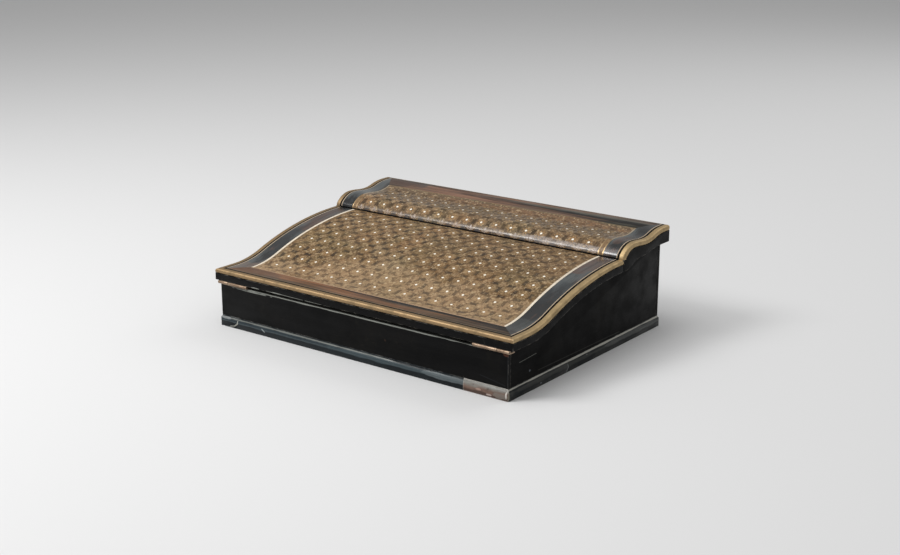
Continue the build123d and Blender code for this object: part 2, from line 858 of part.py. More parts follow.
rear_moulding_plan = [
    (moulding_edge[0], nose_front),
    (half_lid, nose_front),
    (half_lid, lid_back),
    (moulding_edge[0], lid_back),
]
rear_moulding = side_moulding(layer(draw_rear, 0, rear_moulding_height), rear_moulding_plan)
finish(rear_moulding, "rear_lid_right_moulding")
finish(rear_moulding.mirror(Plane.YZ), "rear_lid_left_moulding")
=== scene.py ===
"""Blender scene of a table writing box: an ebonised case, two inlaid lids, brass mouldings and fittings.

Sizes are in millimetres until a mesh is made, and the meshes are in metres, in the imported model's frame:
+X runs to the right, +Y to the back and +Z up, with the table at zero.
"""

import json
import logging
import math
from abc import ABC, abstractmethod
from collections.abc import Callable, Iterable, Mapping, Sequence
from dataclasses import dataclass
from enum import Enum
from typing import Self

import bmesh
import bpy
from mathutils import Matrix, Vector

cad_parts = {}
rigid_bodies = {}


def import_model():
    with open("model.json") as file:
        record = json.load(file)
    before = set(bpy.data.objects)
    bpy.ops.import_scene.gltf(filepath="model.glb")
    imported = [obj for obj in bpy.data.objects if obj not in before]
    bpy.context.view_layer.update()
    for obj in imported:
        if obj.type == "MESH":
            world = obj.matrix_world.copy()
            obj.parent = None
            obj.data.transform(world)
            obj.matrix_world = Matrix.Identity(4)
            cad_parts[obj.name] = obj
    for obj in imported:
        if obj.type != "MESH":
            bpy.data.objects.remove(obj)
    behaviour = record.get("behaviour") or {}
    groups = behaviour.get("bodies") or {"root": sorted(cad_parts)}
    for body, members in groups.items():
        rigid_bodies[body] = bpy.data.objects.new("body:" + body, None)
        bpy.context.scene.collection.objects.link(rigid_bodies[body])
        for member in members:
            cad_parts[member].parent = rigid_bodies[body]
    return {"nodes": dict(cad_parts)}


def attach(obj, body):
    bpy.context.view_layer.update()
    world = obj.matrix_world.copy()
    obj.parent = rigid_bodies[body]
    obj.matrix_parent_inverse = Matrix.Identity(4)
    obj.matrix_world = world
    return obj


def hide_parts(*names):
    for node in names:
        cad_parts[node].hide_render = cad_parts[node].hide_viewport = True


for leftover in list(bpy.data.objects):
    bpy.data.objects.remove(leftover)
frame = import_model()

LOG = logging.getLogger("writing_box")
MM = 0.001
WELD_DISTANCE = 0.002 * MM
FLAT_ANGLE = math.radians(0.2)
SMOOTH_ANGLE = math.radians(28.0)
SHARP_ANGLE = math.radians(32.0)
ARRIS_SEGMENTS = 3
STRIP_STEP = 1.2
TINY = 1e-9
SIDES = ((-1, "left"), (1, "right"))
ORIGIN = (0.0, 0.0, 0.0)

Colour = tuple[float, float, float]
Point = tuple[float, float, float]
Place = tuple[float, float]
Socket = bpy.types.NodeSocket
Number = float | Socket
Mesh = bmesh.types.BMesh


class Body(Enum):
    """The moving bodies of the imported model."""

    CASE = "case"
    SLOPE_LID = "slope_lid"
    REAR_LID = "rear_lid"
    LEFT_CAP = "left_cap"
    RIGHT_CAP = "right_cap"


class Slot(Enum):
    """The record's material slots."""

    EBONISED = "ebonised_wood"
    BARE = "bare_wood"
    INTERIOR = "interior_wood"
    FIELD = "inlaid_field"
    BANDING = "dark_banding"
    STRINGING = "pale_stringing"
    MOULDING = "moulding_brass"
    HINGE = "hinge_brass"
    GLASS = "inkwell_glass"
    INKWELL_BRASS = "inkwell_brass"
    LEATHER = "lining_leather"
    PAPER = "lining_paper"


class GrainWay(Enum):
    """How the noise of a wood's grain is squeezed on each axis, by the way that the fibres run."""

    ALONG_X = (0.05, 1.0, 1.0)
    ALONG_Y = (1.0, 0.05, 1.0)


def scaled(values: Sequence[float], factor: float) -> tuple[float, ...]:
    """The three numbers of a colour or a place, times a factor."""
    return tuple(factor * value for value in values)


# Shader and geometry trees


class Sheet:
    """Places the nodes of one tree and joins their sockets."""

    def __init__(self, tree: bpy.types.NodeTree) -> None:
        """Takes the tree that the nodes go into."""
        self.tree = tree

    def add(self, kind: str, values: dict | None = None, **settings: object) -> bpy.types.Node:
        """Adds one node and fills in its sockets.

        Args:
            kind: The node's type name in Blender.
            values: Socket names or numbers, each with a value or with the socket that feeds it.
            settings: Properties of the node itself.

        Returns:
            The new node.
        """
        node = self.tree.nodes.new(kind)
        for key, value in settings.items():
            setattr(node, key, value)
        for key, value in (values or {}).items():
            socket = node.inputs[key]
            if isinstance(value, Socket):
                self.tree.links.new(value, socket)
            elif socket.type == "RGBA" and len(value) == 3:
                socket.default_value = (*value, 1.0)
            else:
                socket.default_value = value
        return node

    def math(self, operation: str, first: Number, second: Number = 0.0, third: Number = 0.0) -> Socket:
        """Adds a sum on numbers and returns its result, held between 0 and 1 by MULTIPLY_ADD alone.

        Args:
            operation: The operation of the Math node.
            first: The first number or socket.
            second: The second number or socket.
            third: The third number or socket.

        Returns:
            The node's output.
        """
        node = self.add("ShaderNodeMath", {0: first, 1: second, 2: third}, operation=operation)
        node.use_clamp = operation == "MULTIPLY_ADD"
        return node.outputs[0]

    def plus(self, first: Number, second: Number) -> Socket:
        """The sum of two numbers or sockets."""
        return self.math("ADD", first, second)

    def times(self, first: Number, second: Number) -> Socket:
        """The product of two numbers or sockets."""
        return self.math("MULTIPLY", first, second)

    def less(self, first: Number, second: Number) -> Socket:
        """What is left of the first number when the second is taken away."""
        return self.math("SUBTRACT", first, second)

    def vector(
        self, operation: str, first: Socket, second: object = ORIGIN, output: str = "Vector"
    ) -> Socket:
        """Adds one step of vector arithmetic.

        Args:
            operation: The operation of the Vector Math node.
            first: The first vector.
            second: The second vector or number.
            output: The output that is wanted.

        Returns:
            The node's output.
        """
        return self.add("ShaderNodeVectorMath", {0: first, 1: second}, operation=operation).outputs[output]

    def lengthened(self, vector: Socket, factor: Socket) -> Socket:
        """A vector times a number."""
        node = self.add("ShaderNodeVectorMath", {0: vector, "Scale": factor}, operation="SCALE")
        return node.outputs["Vector"]

    def part(self, vector: Socket, axis: str) -> Socket:
        """A vector's share on one axis, X, Y or Z."""
        return self.add("ShaderNodeSeparateXYZ", {0: vector}).outputs[axis]


class ShaderSheet(Sheet):
    """A sheet for materials, the world and the shared groups."""

    def blend(self, share: Number, first: Colour | Socket, second: Colour | Socket) -> Socket:
        """Mixes two colours.

        Args:
            share: How much of the second colour shows, from 0 to 1.
            first: The first colour or socket.
            second: The second colour or socket.

        Returns:
            The mixed colour.
        """
        values = {0: share, 6: first, 7: second}
        return self.add("ShaderNodeMix", values, data_type="RGBA", clamp_factor=True).outputs[2]

    def lay(self, mask: Socket, share: Number, under: Colour | Socket, over: Colour | Socket) -> Socket:
        """Lays a colour over another where a mask is high.

        Args:
            mask: The mask.
            share: What the mask is multiplied by.
            under: The colour beneath.
            over: The colour above.

        Returns:
            The mixed colour.
        """
        return self.blend(self.times(mask, share), under, over)

    def span(
        self, value: Socket, low: Number, high: Number, first: float = 0.0, last: float = 1.0
    ) -> Socket:
        """Maps a range of values smoothly onto another range.

        Args:
            value: The value to map.
            low: The value that gives first.
            high: The value that gives last.
            first: The result at low.
            last: The result at high.

        Returns:
            The mapped value.
        """
        values = {0: value, 1: low, 2: high, 3: first, 4: last}
        return self.add("ShaderNodeMapRange", values, interpolation_type="SMOOTHSTEP").outputs[0]

    def noise(self, place: Socket, scale: Number, detail: float = 3.0, rough: float = 0.55) -> Socket:
        """Adds a noise pattern and returns its value.

        Args:
            place: The coordinates.
            scale: The number of waves to a metre.
            detail: The number of finer layers.
            rough: How strong the finer layers are.

        Returns:
            The noise value, near 0.5 on average.
        """
        values = {"Vector": place, "Scale": scale, "Detail": detail, "Roughness": rough}
        return self.add("ShaderNodeTexNoise", values).outputs["Fac"]

    def squeezed(self, place: Socket, scale: Sequence[float], shift: Sequence[float] = ORIGIN) -> Socket:
        """Stretches coordinates along chosen axes.

        Args:
            place: The coordinates.
            scale: The factor on each axis.
            shift: What is added on each axis.

        Returns:
            The new coordinates.
        """
        return self.add("ShaderNodeMapping", {"Vector": place, "Scale": scale, "Location": shift}).outputs[0]

    def object_place(self) -> Socket:
        """The coordinates of the object that wears the material."""
        return self.add("ShaderNodeTexCoord").outputs["Object"]

    def dullness(self, place: Socket, scale: float, gloss: Place, detail: float = 4.0) -> Socket:
        """A roughness that changes slowly between two values.

        Args:
            place: The coordinates.
            scale: The number of waves to a metre.
            gloss: The lowest and the highest roughness.
            detail: The number of finer layers.

        Returns:
            The roughness.
        """
        return self.span(self.noise(place, scale, detail), 0.3, 0.7, *gloss)

    def surface(
        self, colour: Socket, dullness: Socket, relief: Socket, depth: float, **rest: Number
    ) -> bpy.types.Node:
        """Adds the shader of a surface with a fine relief.

        Args:
            colour: The surface's colour.
            dullness: Its roughness.
            relief: The height of its relief, from 0 to 1.
            depth: The real height of 1, in millimetres.
            rest: The shader's other inputs by name, with underscores for blanks.

        Returns:
            The shader node.
        """
        bump = self.add("ShaderNodeBump", {"Height": relief, "Distance": depth * MM, "Strength": 1.0})
        values = {"Base Color": colour, "Roughness": dullness, "Normal": bump.outputs[0]}
        values.update({key.replace("_", " "): value for key, value in rest.items()})
        return self.add("ShaderNodeBsdfPrincipled", values)


class SharedGroup(ABC):
    """A shader effect that several materials use, built once as a node group.

    Every group takes a vector, and the inputs named here by their values. A number makes a number
    socket, and a tuple of three or four makes a vector or a colour.
    """

    title: str
    inputs: dict[str, object]
    kinds = {3: "NodeSocketVector", 4: "NodeSocketColor"}
    built: dict[str, bpy.types.NodeTree] = {}

    def tree(self) -> bpy.types.NodeTree:
        """Builds the group's tree on the first call.

        Returns:
            The tree.
        """
        if self.title in SharedGroup.built:
            return SharedGroup.built[self.title]
        tree = bpy.data.node_groups.new(self.title, "ShaderNodeTree")
        for name, value in {"Vector": ORIGIN, **self.inputs}.items():
            kind = self.kinds[len(value)] if isinstance(value, tuple) else "NodeSocketFloat"
            tree.interface.new_socket(name, in_out="INPUT", socket_type=kind).default_value = value
        sheet = ShaderSheet(tree)
        results = self.draw(sheet, sheet.add("NodeGroupInput").outputs)
        for name, result in results.items():
            kind = "NodeSocketColor" if result.type == "RGBA" else "NodeSocketFloat"
            tree.interface.new_socket(name, in_out="OUTPUT", socket_type=kind)
        sheet.add("NodeGroupOutput", results)
        SharedGroup.built[self.title] = tree
        return tree

    def place(self, sheet: ShaderSheet, vector: Socket, **values: object) -> bpy.types.Node:
        """Places the group in a material with its own values.

        Args:
            sheet: The material's sheet.
            vector: The coordinates.
            values: The group's other inputs by name, with underscores for blanks.

        Returns:
            The group node.
        """
        given = {"Vector": vector, **{key.replace("_", " "): value for key, value in values.items()}}
        return sheet.add("ShaderNodeGroup", given, node_tree=self.tree())

    def output(self, sheet: ShaderSheet, vector: Socket, **values: object) -> Socket:
        """Places the group as place does, and returns its first output."""
        return self.place(sheet, vector, **values).outputs[0]

    @abstractmethod
    def draw(self, sheet: ShaderSheet, given: Mapping[str, Socket]) -> dict[str, Socket]:
        """Fills the group's tree.

        Args:
            sheet: The group's sheet.
            given: The group's inputs by name.

        Returns:
            The group's outputs by name.
        """


class WoodGrain(SharedGroup):
    """Long fibres with darker streaks and short open pores."""

    title = "Wood Grain"
    inputs = {"Streaks": 90.0, "Pores": 900.0}

    def draw(self, sheet: ShaderSheet, given: Mapping[str, Socket]) -> dict[str, Socket]:
        """Layers a wavy streak noise and a fine pore noise."""
        wander = sheet.times(sheet.noise(given["Vector"], 14.0, 2.0), 0.012)
        moved = sheet.vector("ADD", given["Vector"], wander)
        streak = sheet.noise(moved, given["Streaks"], 4.0, 0.6)
        pore = sheet.noise(moved, given["Pores"], 1.0, 0.5)
        return {"Streak": sheet.span(streak, 0.32, 0.68), "Pore": sheet.span(pore, 0.56, 0.72)}


class EdgeWear(SharedGroup):
    """A mask that is high along rubbed edges and broken up by noise."""

    title = "Edge Wear"
    inputs = {"Reach": 0.0009, "Breakup": 120.0, "Amount": 0.5}

    def draw(self, sheet: ShaderSheet, given: Mapping[str, Socket]) -> dict[str, Socket]:
        """Compares the rounded normal with the true one and cuts the result with noise."""
        rounded = sheet.add("ShaderNodeBevel", {"Radius": given["Reach"]}, samples=6).outputs[0]
        true_way = sheet.add("ShaderNodeNewGeometry").outputs["True Normal"]
        edge = sheet.span(sheet.vector("DOT_PRODUCT", rounded, true_way, "Value"), 0.995, 0.80)
        broken = sheet.noise(given["Vector"], given["Breakup"], 5.0, 0.5)
        level = sheet.plus(broken, sheet.less(given["Amount"], 0.5))
        return {"Mask": sheet.times(edge, sheet.span(level, 0.42, 0.62))}


class Mottle(SharedGroup):
    """Soft irregular patches."""

    title = "Mottle"
    inputs = {"Scale": 20.0, "Level": 0.5, "Softness": 0.15}

    def draw(self, sheet: ShaderSheet, given: Mapping[str, Socket]) -> dict[str, Socket]:
        """Cuts a noise pattern at a level, with a soft border."""
        pattern = sheet.noise(given["Vector"], given["Scale"], 5.0, 0.6)
        low = sheet.less(given["Level"], given["Softness"])
        return {"Mask": sheet.span(pattern, low, sheet.plus(given["Level"], given["Softness"]))}


class Scratches(SharedGroup):
    """Thin, mostly straight scratches that cross the surface at a slant."""

    title = "Scratches"
    inputs = {"Scale": 30.0, "Amount": 0.5}
    turn = (0.35, 0.5, 0.4)
    stretch = (1.0, 0.16, 0.3)

    def draw(self, sheet: ShaderSheet, given: Mapping[str, Socket]) -> dict[str, Socket]:
        """Thins the borders of stretched cells into lines and keeps a part of them."""
        values = {"Vector": given["Vector"], "Rotation": self.turn, "Scale": self.stretch}
        turned = sheet.add("ShaderNodeMapping", values).outputs[0]
        values = {"Vector": turned, "Scale": given["Scale"]}
        cells = sheet.add("ShaderNodeTexVoronoi", values, feature="DISTANCE_TO_EDGE").outputs["Distance"]
        kept = sheet.noise(turned, given["Scale"], 2.0, 0.5)
        level = sheet.plus(kept, sheet.less(given["Amount"], 0.5))
        return {"Mask": sheet.times(sheet.span(cells, 0.02, 0.0), sheet.span(level, 0.5, 0.62))}


class LocalPatch(SharedGroup):
    """A ragged patch around one place, such as a chip or a bruise."""

    title = "Local Patch"
    inputs = {"Middle": ORIGIN, "Half Size": (0.01, 0.01, 0.01), "Breakup": 200.0}

    def draw(self, sheet: ShaderSheet, given: Mapping[str, Socket]) -> dict[str, Socket]:
        """Fades out with the distance from the middle, and frays the border with noise."""
        offset = sheet.vector("SUBTRACT", given["Vector"], given["Middle"])
        away = sheet.vector("LENGTH", sheet.vector("DIVIDE", offset, given["Half Size"]), output="Value")
        ragged = sheet.noise(given["Vector"], given["Breakup"], 4.0, 0.5)
        level = sheet.plus(away, sheet.times(sheet.less(ragged, 0.5), 1.6))
        return {"Mask": sheet.span(level, 1.0, 0.8)}


class LineMark(SharedGroup):
    """A thin straight mark between two places, such as a scratch or an open joint."""

    title = "Line Mark"
    inputs = {"Start": ORIGIN, "End": (0.01, 0.0, 0.0), "Half Width": 0.0003}

    def draw(self, sheet: ShaderSheet, given: Mapping[str, Socket]) -> dict[str, Socket]:
        """Measures how far each place is from the line, and keeps what is near."""
        run = sheet.vector("SUBTRACT", given["End"], given["Start"])
        offset = sheet.vector("SUBTRACT", given["Vector"], given["Start"])
        along = sheet.vector("DOT_PRODUCT", offset, run, "Value")
        share = sheet.math("DIVIDE", along, sheet.vector("DOT_PRODUCT", run, run, "Value"))
        share = sheet.math("MINIMUM", sheet.math("MAXIMUM", share, 0.0), 1.0)
        away = sheet.vector("DISTANCE", offset, sheet.lengthened(run, share), "Value")
        return {"Mask": sheet.span(sheet.math("DIVIDE", away, given["Half Width"]), 1.0, 0.5)}


class PatinaAndSheen(SharedGroup):
    """Slow changes of colour over a whole lid: pinkish brown and olive places, greyish places of painted
    sheen, and fine specks.

    A layer is the shift, scale, lower and upper level, share and tint of a noise. A held place is the
    middle, half size, share and tint of a patch, in metres.
    """

    title = "PatinaAndSheen"
    inputs = {"Colour": (0.5, 0.5, 0.5, 1.0), "Amount": 0.5}
    slow = (
        ((0.0, 0.0, 0.0), 19.0, 0.46, 0.60, 0.65, (0.25, 0.13, 0.054)),
        ((3.1, 1.7, 0.4), 16.0, 0.48, 0.62, 0.65, (0.14, 0.104, 0.042)),
        # This lighter, greyer layer is painted sheen.
        ((5.3, 8.1, 2.2), 12.0, 0.52, 0.66, 0.55, (0.25, 0.19, 0.112)),
        ((9.2, 3.7, 5.1), 8.0, 0.48, 0.60, 0.55, (0.20, 0.115, 0.048)),
    )
    held = (
        # This held place is painted sheen low on the slope's front.
        ((0.03, -0.11, 0.07), (0.22, 0.05, 0.05), 0.5, (0.46, 0.32, 0.19)),
        ((0.11, 0.015, 0.095), (0.12, 0.05, 0.05), 0.5, (0.12, 0.07, 0.03)),
        ((0.03, 0.104, 0.113), (0.26, 0.034, 0.03), 0.78, (0.088, 0.054, 0.025)),
        # This held place is painted sheen along the foot of the rear lid's nose, on its right half.
        ((0.13, 0.0575, 0.0985), (0.13, 0.0035, 0.006), 0.65, (0.36, 0.32, 0.30)),
        ((0.035, 0.1135, 0.1146), (0.13, 0.0075, 0.02), 0.4, (0.27, 0.12, 0.052)),
    )
    fine = (
        ((7.7, 2.3, 1.9), 250.0, 0.50, 0.58, 0.8, (0.07, 0.042, 0.02)),
        ((1.9, 4.4, 6.6), 330.0, 0.54, 0.62, 0.9, (0.48, 0.35, 0.20)),
    )

    def draw(self, sheet: ShaderSheet, given: Mapping[str, Socket]) -> dict[str, Socket]:
        """Mixes noises of different scales and the held places over the given colour."""
        place, amount = given["Vector"], given["Amount"]
        colour = self.mottled(sheet, place, amount, given["Colour"], self.slow)
        for middle, half_size, share, tint in self.held:
            mask = PATCH.output(sheet, place, Middle=middle, Half_Size=half_size, Breakup=14.0)
            colour = sheet.lay(mask, sheet.times(amount, share), colour, tint)
        return {"Colour": self.mottled(sheet, place, amount, colour, self.fine)}

    @staticmethod
    def mottled(
        sheet: ShaderSheet, place: Socket, amount: Socket, colour: Socket, layers: Sequence[tuple]
    ) -> Socket:
        """Lays noises over a colour, one after another.

        Args:
            sheet: The group's sheet.
            place: The object coordinates.
            amount: The share of all the layers.
            colour: The colour beneath.
            layers: The layers.

        Returns:
            The mottled colour.
        """
        for shift, scale, low, high, share, tint in layers:
            pattern = sheet.noise(sheet.squeezed(place, (1, 1, 1), shift), scale, 4.0, 0.62)
            colour = sheet.lay(sheet.span(pattern, low, high, 0.0, share), amount, colour, tint)
        return colour


GRAIN = WoodGrain()
WEAR = EdgeWear()
MOTTLE = Mottle()
SCRATCHES = Scratches()
PATCH = LocalPatch()
LINE = LineMark()
PATINA_AND_SHEEN = PatinaAndSheen()


# Finishes


@dataclass(frozen=True)
class ChipOrPaintedLight:
    """A ragged spot of colour, in millimetres: a place where the finish is worn through, or a painted
    highlight, sheen or shade.
    """

    middle: Point
    half_size: Point
    colour: Colour
    share: float = 0.9
    breakup: float = 220.0

    def lay(self, sheet: ShaderSheet, place: Socket, under: Socket, strength: Number = 1.0) -> Socket:
        """Lays the spot's colour over another.

        Args:
            sheet: The material's sheet.
            place: The object coordinates.
            under: The colour beneath.
            strength: What the spot's share is multiplied by.

        Returns:
            The colour with the spot.
        """
        middle, half_size = scaled(self.middle, MM), scaled(self.half_size, MM)
        mask = PATCH.output(sheet, place, Middle=middle, Half_Size=half_size, Breakup=self.breakup)
        return sheet.lay(sheet.times(mask, self.share), strength, under, self.colour)


@dataclass(frozen=True)
class Nick:
    """A thin straight mark through the finish, in millimetres."""

    start: Point
    end: Point
    colour: Colour
    half_width: float = 0.4
    share: float = 0.8

    def lay(self, sheet: ShaderSheet, place: Socket, under: Socket) -> Socket:
        """Lays the mark's colour over another.

        Args:
            sheet: The material's sheet.
            place: The object coordinates.
            under: The colour beneath.

        Returns:
            The colour with the mark.
        """
        start, end = scaled(self.start, MM), scaled(self.end, MM)
        mask = LINE.output(sheet, place, Start=start, End=end, Half_Width=self.half_width * MM)
        return sheet.lay(mask, self.share, under, self.colour)


@dataclass(frozen=True)
class Finish(ABC):
    """One finish of the box, and the material that shows it."""

    title: str
    slot: Slot

    def material(self) -> bpy.types.Material:
        """Builds the finish's material on the first call.

        Returns:
            The material.
        """
        known = bpy.data.materials.get(self.title)
        if known is not None:
            return known
        material = bpy.data.materials.new(self.title)
        material.use_nodes = True
        material.node_tree.nodes.clear()
        sheet = ShaderSheet(material.node_tree)
        shader = self.dress(sheet, sheet.object_place())
        sheet.add("ShaderNodeOutputMaterial", {"Surface": shader.outputs[0]})
        return material

    @abstractmethod
    def dress(self, sheet: ShaderSheet, place: Socket) -> bpy.types.Node:
        """Builds the finish's nodes.

        Args:
            sheet: The material's sheet.
            place: The object coordinates.

        Returns:
            The shader node.
        """


@dataclass(frozen=True)
class Wood(Finish):
    """A finish with visible fibres."""

    grain: GrainWay = GrainWay.ALONG_X

    def fibres(
        self, sheet: ShaderSheet, place: Socket, streaks: float, pores: float
    ) -> tuple[Socket, Socket]:
        """Lays fibres along the grain.

        Args:
            sheet: The material's sheet.
            place: The object coordinates.
            streaks: The number of streaks to a metre.
            pores: The number of pores to a metre.

        Returns:
            The masks of the streaks and of the pores.
        """
        along = sheet.squeezed(place, self.grain.value)
        node = GRAIN.place(sheet, along, Streaks=streaks, Pores=pores)
        return node.outputs["Streak"], node.outputs["Pore"]


@dataclass(frozen=True)
class BlackWood(Wood):
    """Ebonised wood: black stain and polish, rubbed grey on the faces and pale along the arrises."""

    black: Colour = (0.0035, 0.0035, 0.0036)
    rubbed: Colour = (0.0105, 0.0095, 0.008)
    worn: Colour = (0.26, 0.24, 0.21)
    wear: float = 0.5
    wear_reach: float = 0.8
    rubbing: float = 0.56
    scratching: float = 0.34
    gloss: Place = (0.36, 0.58)
    shine: float = 0.07
    chips_and_painted_light: tuple[ChipOrPaintedLight | Nick, ...] = ()

    def dress(self, sheet: ShaderSheet, place: Socket) -> bpy.types.Node:
        """Layers grain, rubbed places, scratches, worn arrises, chips and painted highlights."""
        streak, pore = self.fibres(sheet, place, 110.0, 950.0)
        colour = sheet.lay(streak, 0.55, self.black, scaled(self.black, 2.2))
        rubs = MOTTLE.output(sheet, place, Scale=26.0, Level=self.rubbing, Softness=0.12)
        fine_rubs = MOTTLE.output(sheet, place, Scale=150.0, Level=0.6, Softness=0.08)
        colour = sheet.lay(rubs, sheet.math("MULTIPLY_ADD", fine_rubs, 0.6, 0.25), colour, self.rubbed)
        marks = SCRATCHES.output(sheet, place, Scale=34.0, Amount=self.scratching)
        colour = sheet.lay(marks, 0.25, colour, self.worn)
        edges = WEAR.output(sheet, place, Reach=self.wear_reach * MM, Breakup=140.0, Amount=self.wear)
        colour = sheet.lay(edges, 0.8, colour, self.worn)
        for spot in self.chips_and_painted_light:
            colour = spot.lay(sheet, place, colour)
        relief = sheet.less(1.0, sheet.plus(pore, sheet.times(streak, 0.4)))
        dullness = sheet.dullness(place, 45.0, self.gloss)
        return sheet.surface(colour, dullness, relief, 0.05, Specular_IOR_Level=self.shine)


@dataclass(frozen=True)
class PlainWood(Wood):
    """Polished wood with visible fibres, darker in places from handling."""

    light: Colour = (0.30, 0.155, 0.078)
    dark: Colour = (0.13, 0.055, 0.028)
    stain: Colour = (0.05, 0.03, 0.02)
    staining: float = 0.62
    gloss: Place = (0.38, 0.6)

    def dress(self, sheet: ShaderSheet, place: Socket) -> bpy.types.Node:
        """Layers fibres, pores and stains."""
        streak, pore = self.fibres(sheet, place, 70.0, 800.0)
        colour = sheet.lay(pore, 0.6, sheet.blend(streak, self.dark, self.light), self.stain)
        stains = MOTTLE.output(sheet, place, Scale=22.0, Level=self.staining, Softness=0.14)
        colour = sheet.lay(stains, 0.7, colour, self.stain)
        dullness = sheet.dullness(place, 60.0, self.gloss)
        return sheet.surface(colour, dullness, sheet.less(1.0, pore), 0.06, Specular_IOR_Level=0.4)


@dataclass(frozen=True)
class WornRepair(Wood):
    """The repaired plinth end: bare pinkish wood, its upper part painted grey as sheen on the finish left
    there, darkened along its foot.
    """

    sheen_grey: Colour = (0.205, 0.20, 0.178)
    bare: Colour = (0.19, 0.112, 0.08)
    red: Colour = (0.066, 0.033, 0.021)
    pale: Colour = (0.62, 0.59, 0.54)
    sheen_height: float = 8.0
    foot_height: float = 3.4
    chips_and_painted_light: tuple[ChipOrPaintedLight | Nick, ...] = ()

    def dress(self, sheet: ShaderSheet, place: Socket) -> bpy.types.Node:
        """Splits the strip by height, with frayed borders."""
        streak, pore = self.fibres(sheet, place, 120.0, 900.0)
        height = sheet.math("DIVIDE", sheet.part(place, "Z"), MM)
        ragged = sheet.noise(sheet.squeezed(place, (0.35, 1.0, 1.0)), 150.0, 5.0)
        fine = sheet.noise(sheet.squeezed(place, (0.5, 1.0, 1.0), (3.3, 0.4, 1.2)), 420.0, 4.0)
        level = sheet.plus(sheet.plus(height, sheet.times(ragged, 8.0)), sheet.times(fine, 2.0))
        wood = sheet.blend(streak, scaled(self.bare, 0.7), self.bare)
        foot = sheet.span(level, self.foot_height + 6.2, self.foot_height + 4.2)
        # The upper part is painted a mottled grey, as sheen on the finish left there.
        sheen_grey = sheet.blend(fine, scaled(self.sheen_grey, 0.55), scaled(self.sheen_grey, 1.25))
        crest = sheet.span(level, self.sheen_height + 2.6, self.sheen_height + 7.0)
        colour = sheet.blend(crest, sheet.blend(foot, wood, self.red), sheen_grey)
        dirt = MOTTLE.output(sheet, place, Scale=190.0, Level=0.62, Softness=0.06)
        colour = sheet.lay(dirt, 0.55, colour, scaled(self.red, 0.4))
        for spot in self.chips_and_painted_light:
            colour = spot.lay(sheet, place, colour)
        edges = WEAR.output(sheet, place, Reach=1.1 * MM, Breakup=120.0, Amount=0.8)
        colour = sheet.lay(edges, 0.9, colour, self.pale)
        dullness = sheet.span(streak, 0.0, 1.0, 0.34, 0.55)
        return sheet.surface(colour, dullness, sheet.less(1.0, pore), 0.08, Specular_IOR_Level=0.45)


@dataclass(frozen=True)
class InlayWood(Wood):
    """An inlaid wood, shell or bone whose tone changes from piece to piece."""

    light: Colour = (0.33, 0.24, 0.155)
    dark: Colour = (0.20, 0.135, 0.08)
    patina_and_sheen: float = 0.75
    gloss: Place = (0.36, 0.54)
    shine: float = 0.22

    def dress(self, sheet: ShaderSheet, place: Socket) -> bpy.types.Node:
        """Mixes the two tones by piece and by fibre, and lays patina and painted sheen over them."""
        tone = sheet.add("ShaderNodeAttribute", attribute_name="tone").outputs["Fac"]
        streak, _ = self.fibres(sheet, place, 260.0, 1500.0)
        share = sheet.math("MULTIPLY_ADD", streak, 0.45, sheet.times(tone, 0.6))
        fresh = sheet.blend(share, self.dark, self.light)
        colour = PATINA_AND_SHEEN.output(sheet, place, Colour=fresh, Amount=self.patina_and_sheen)
        dullness = sheet.dullness(place, 70.0, self.gloss)
        relief = sheet.noise(place, 700.0)
        return sheet.surface(colour, dullness, relief, 0.03, Specular_IOR_Level=self.shine)


@dataclass(frozen=True)
class BandingWood(Wood):
    """The dark borders: polished rosewood, nearly black, with red-brown stretches and pale stretches of
    painted sheen.
    """

    black: Colour = (0.006, 0.0065, 0.0072)
    red: Colour = (0.17, 0.075, 0.042)
    pale: Colour = (0.062, 0.074, 0.078)
    red_level: float = 0.56
    sheen_level: float = 0.55
    leftward: float = 0.0
    gloss: Place = (0.12, 0.24)
    shine: float = 0.6
    tone_and_sheen_spots: tuple[ChipOrPaintedLight, ...] = ()

    def dress(self, sheet: ShaderSheet, place: Socket) -> bpy.types.Node:
        """Lays red streaks and pale streaks of painted sheen over black along the fibres."""
        streak, pore = self.fibres(sheet, place, 180.0, 1100.0)
        along = sheet.squeezed(place, self.grain.value)
        across = sheet.part(place, "X")
        red_level = sheet.plus(self.red_level, sheet.times(across, self.leftward))
        reddened = MOTTLE.output(sheet, along, Scale=110.0, Level=red_level, Softness=0.1)
        # Pale patches of painted sheen.
        sheen_level = sheet.plus(self.sheen_level, sheet.times(across, 0.5 * self.leftward))
        elsewhere = sheet.squeezed(along, (1, 1, 1), (2.3, 5.1, 0.7))
        sheen_patches = MOTTLE.output(sheet, elsewhere, Scale=70.0, Level=sheen_level, Softness=0.08)
        strength = sheet.math("MULTIPLY_ADD", streak, 0.7, 0.3)
        colour = sheet.lay(reddened, strength, sheet.lay(sheen_patches, 0.8, self.black, self.pale), self.red)
        for spot in self.tone_and_sheen_spots:
            colour = spot.lay(sheet, place, colour, strength)
        dullness = sheet.dullness(place, 40.0, self.gloss)
        return sheet.surface(colour, dullness, sheet.less(1.0, pore), 0.002, Specular_IOR_Level=self.shine)


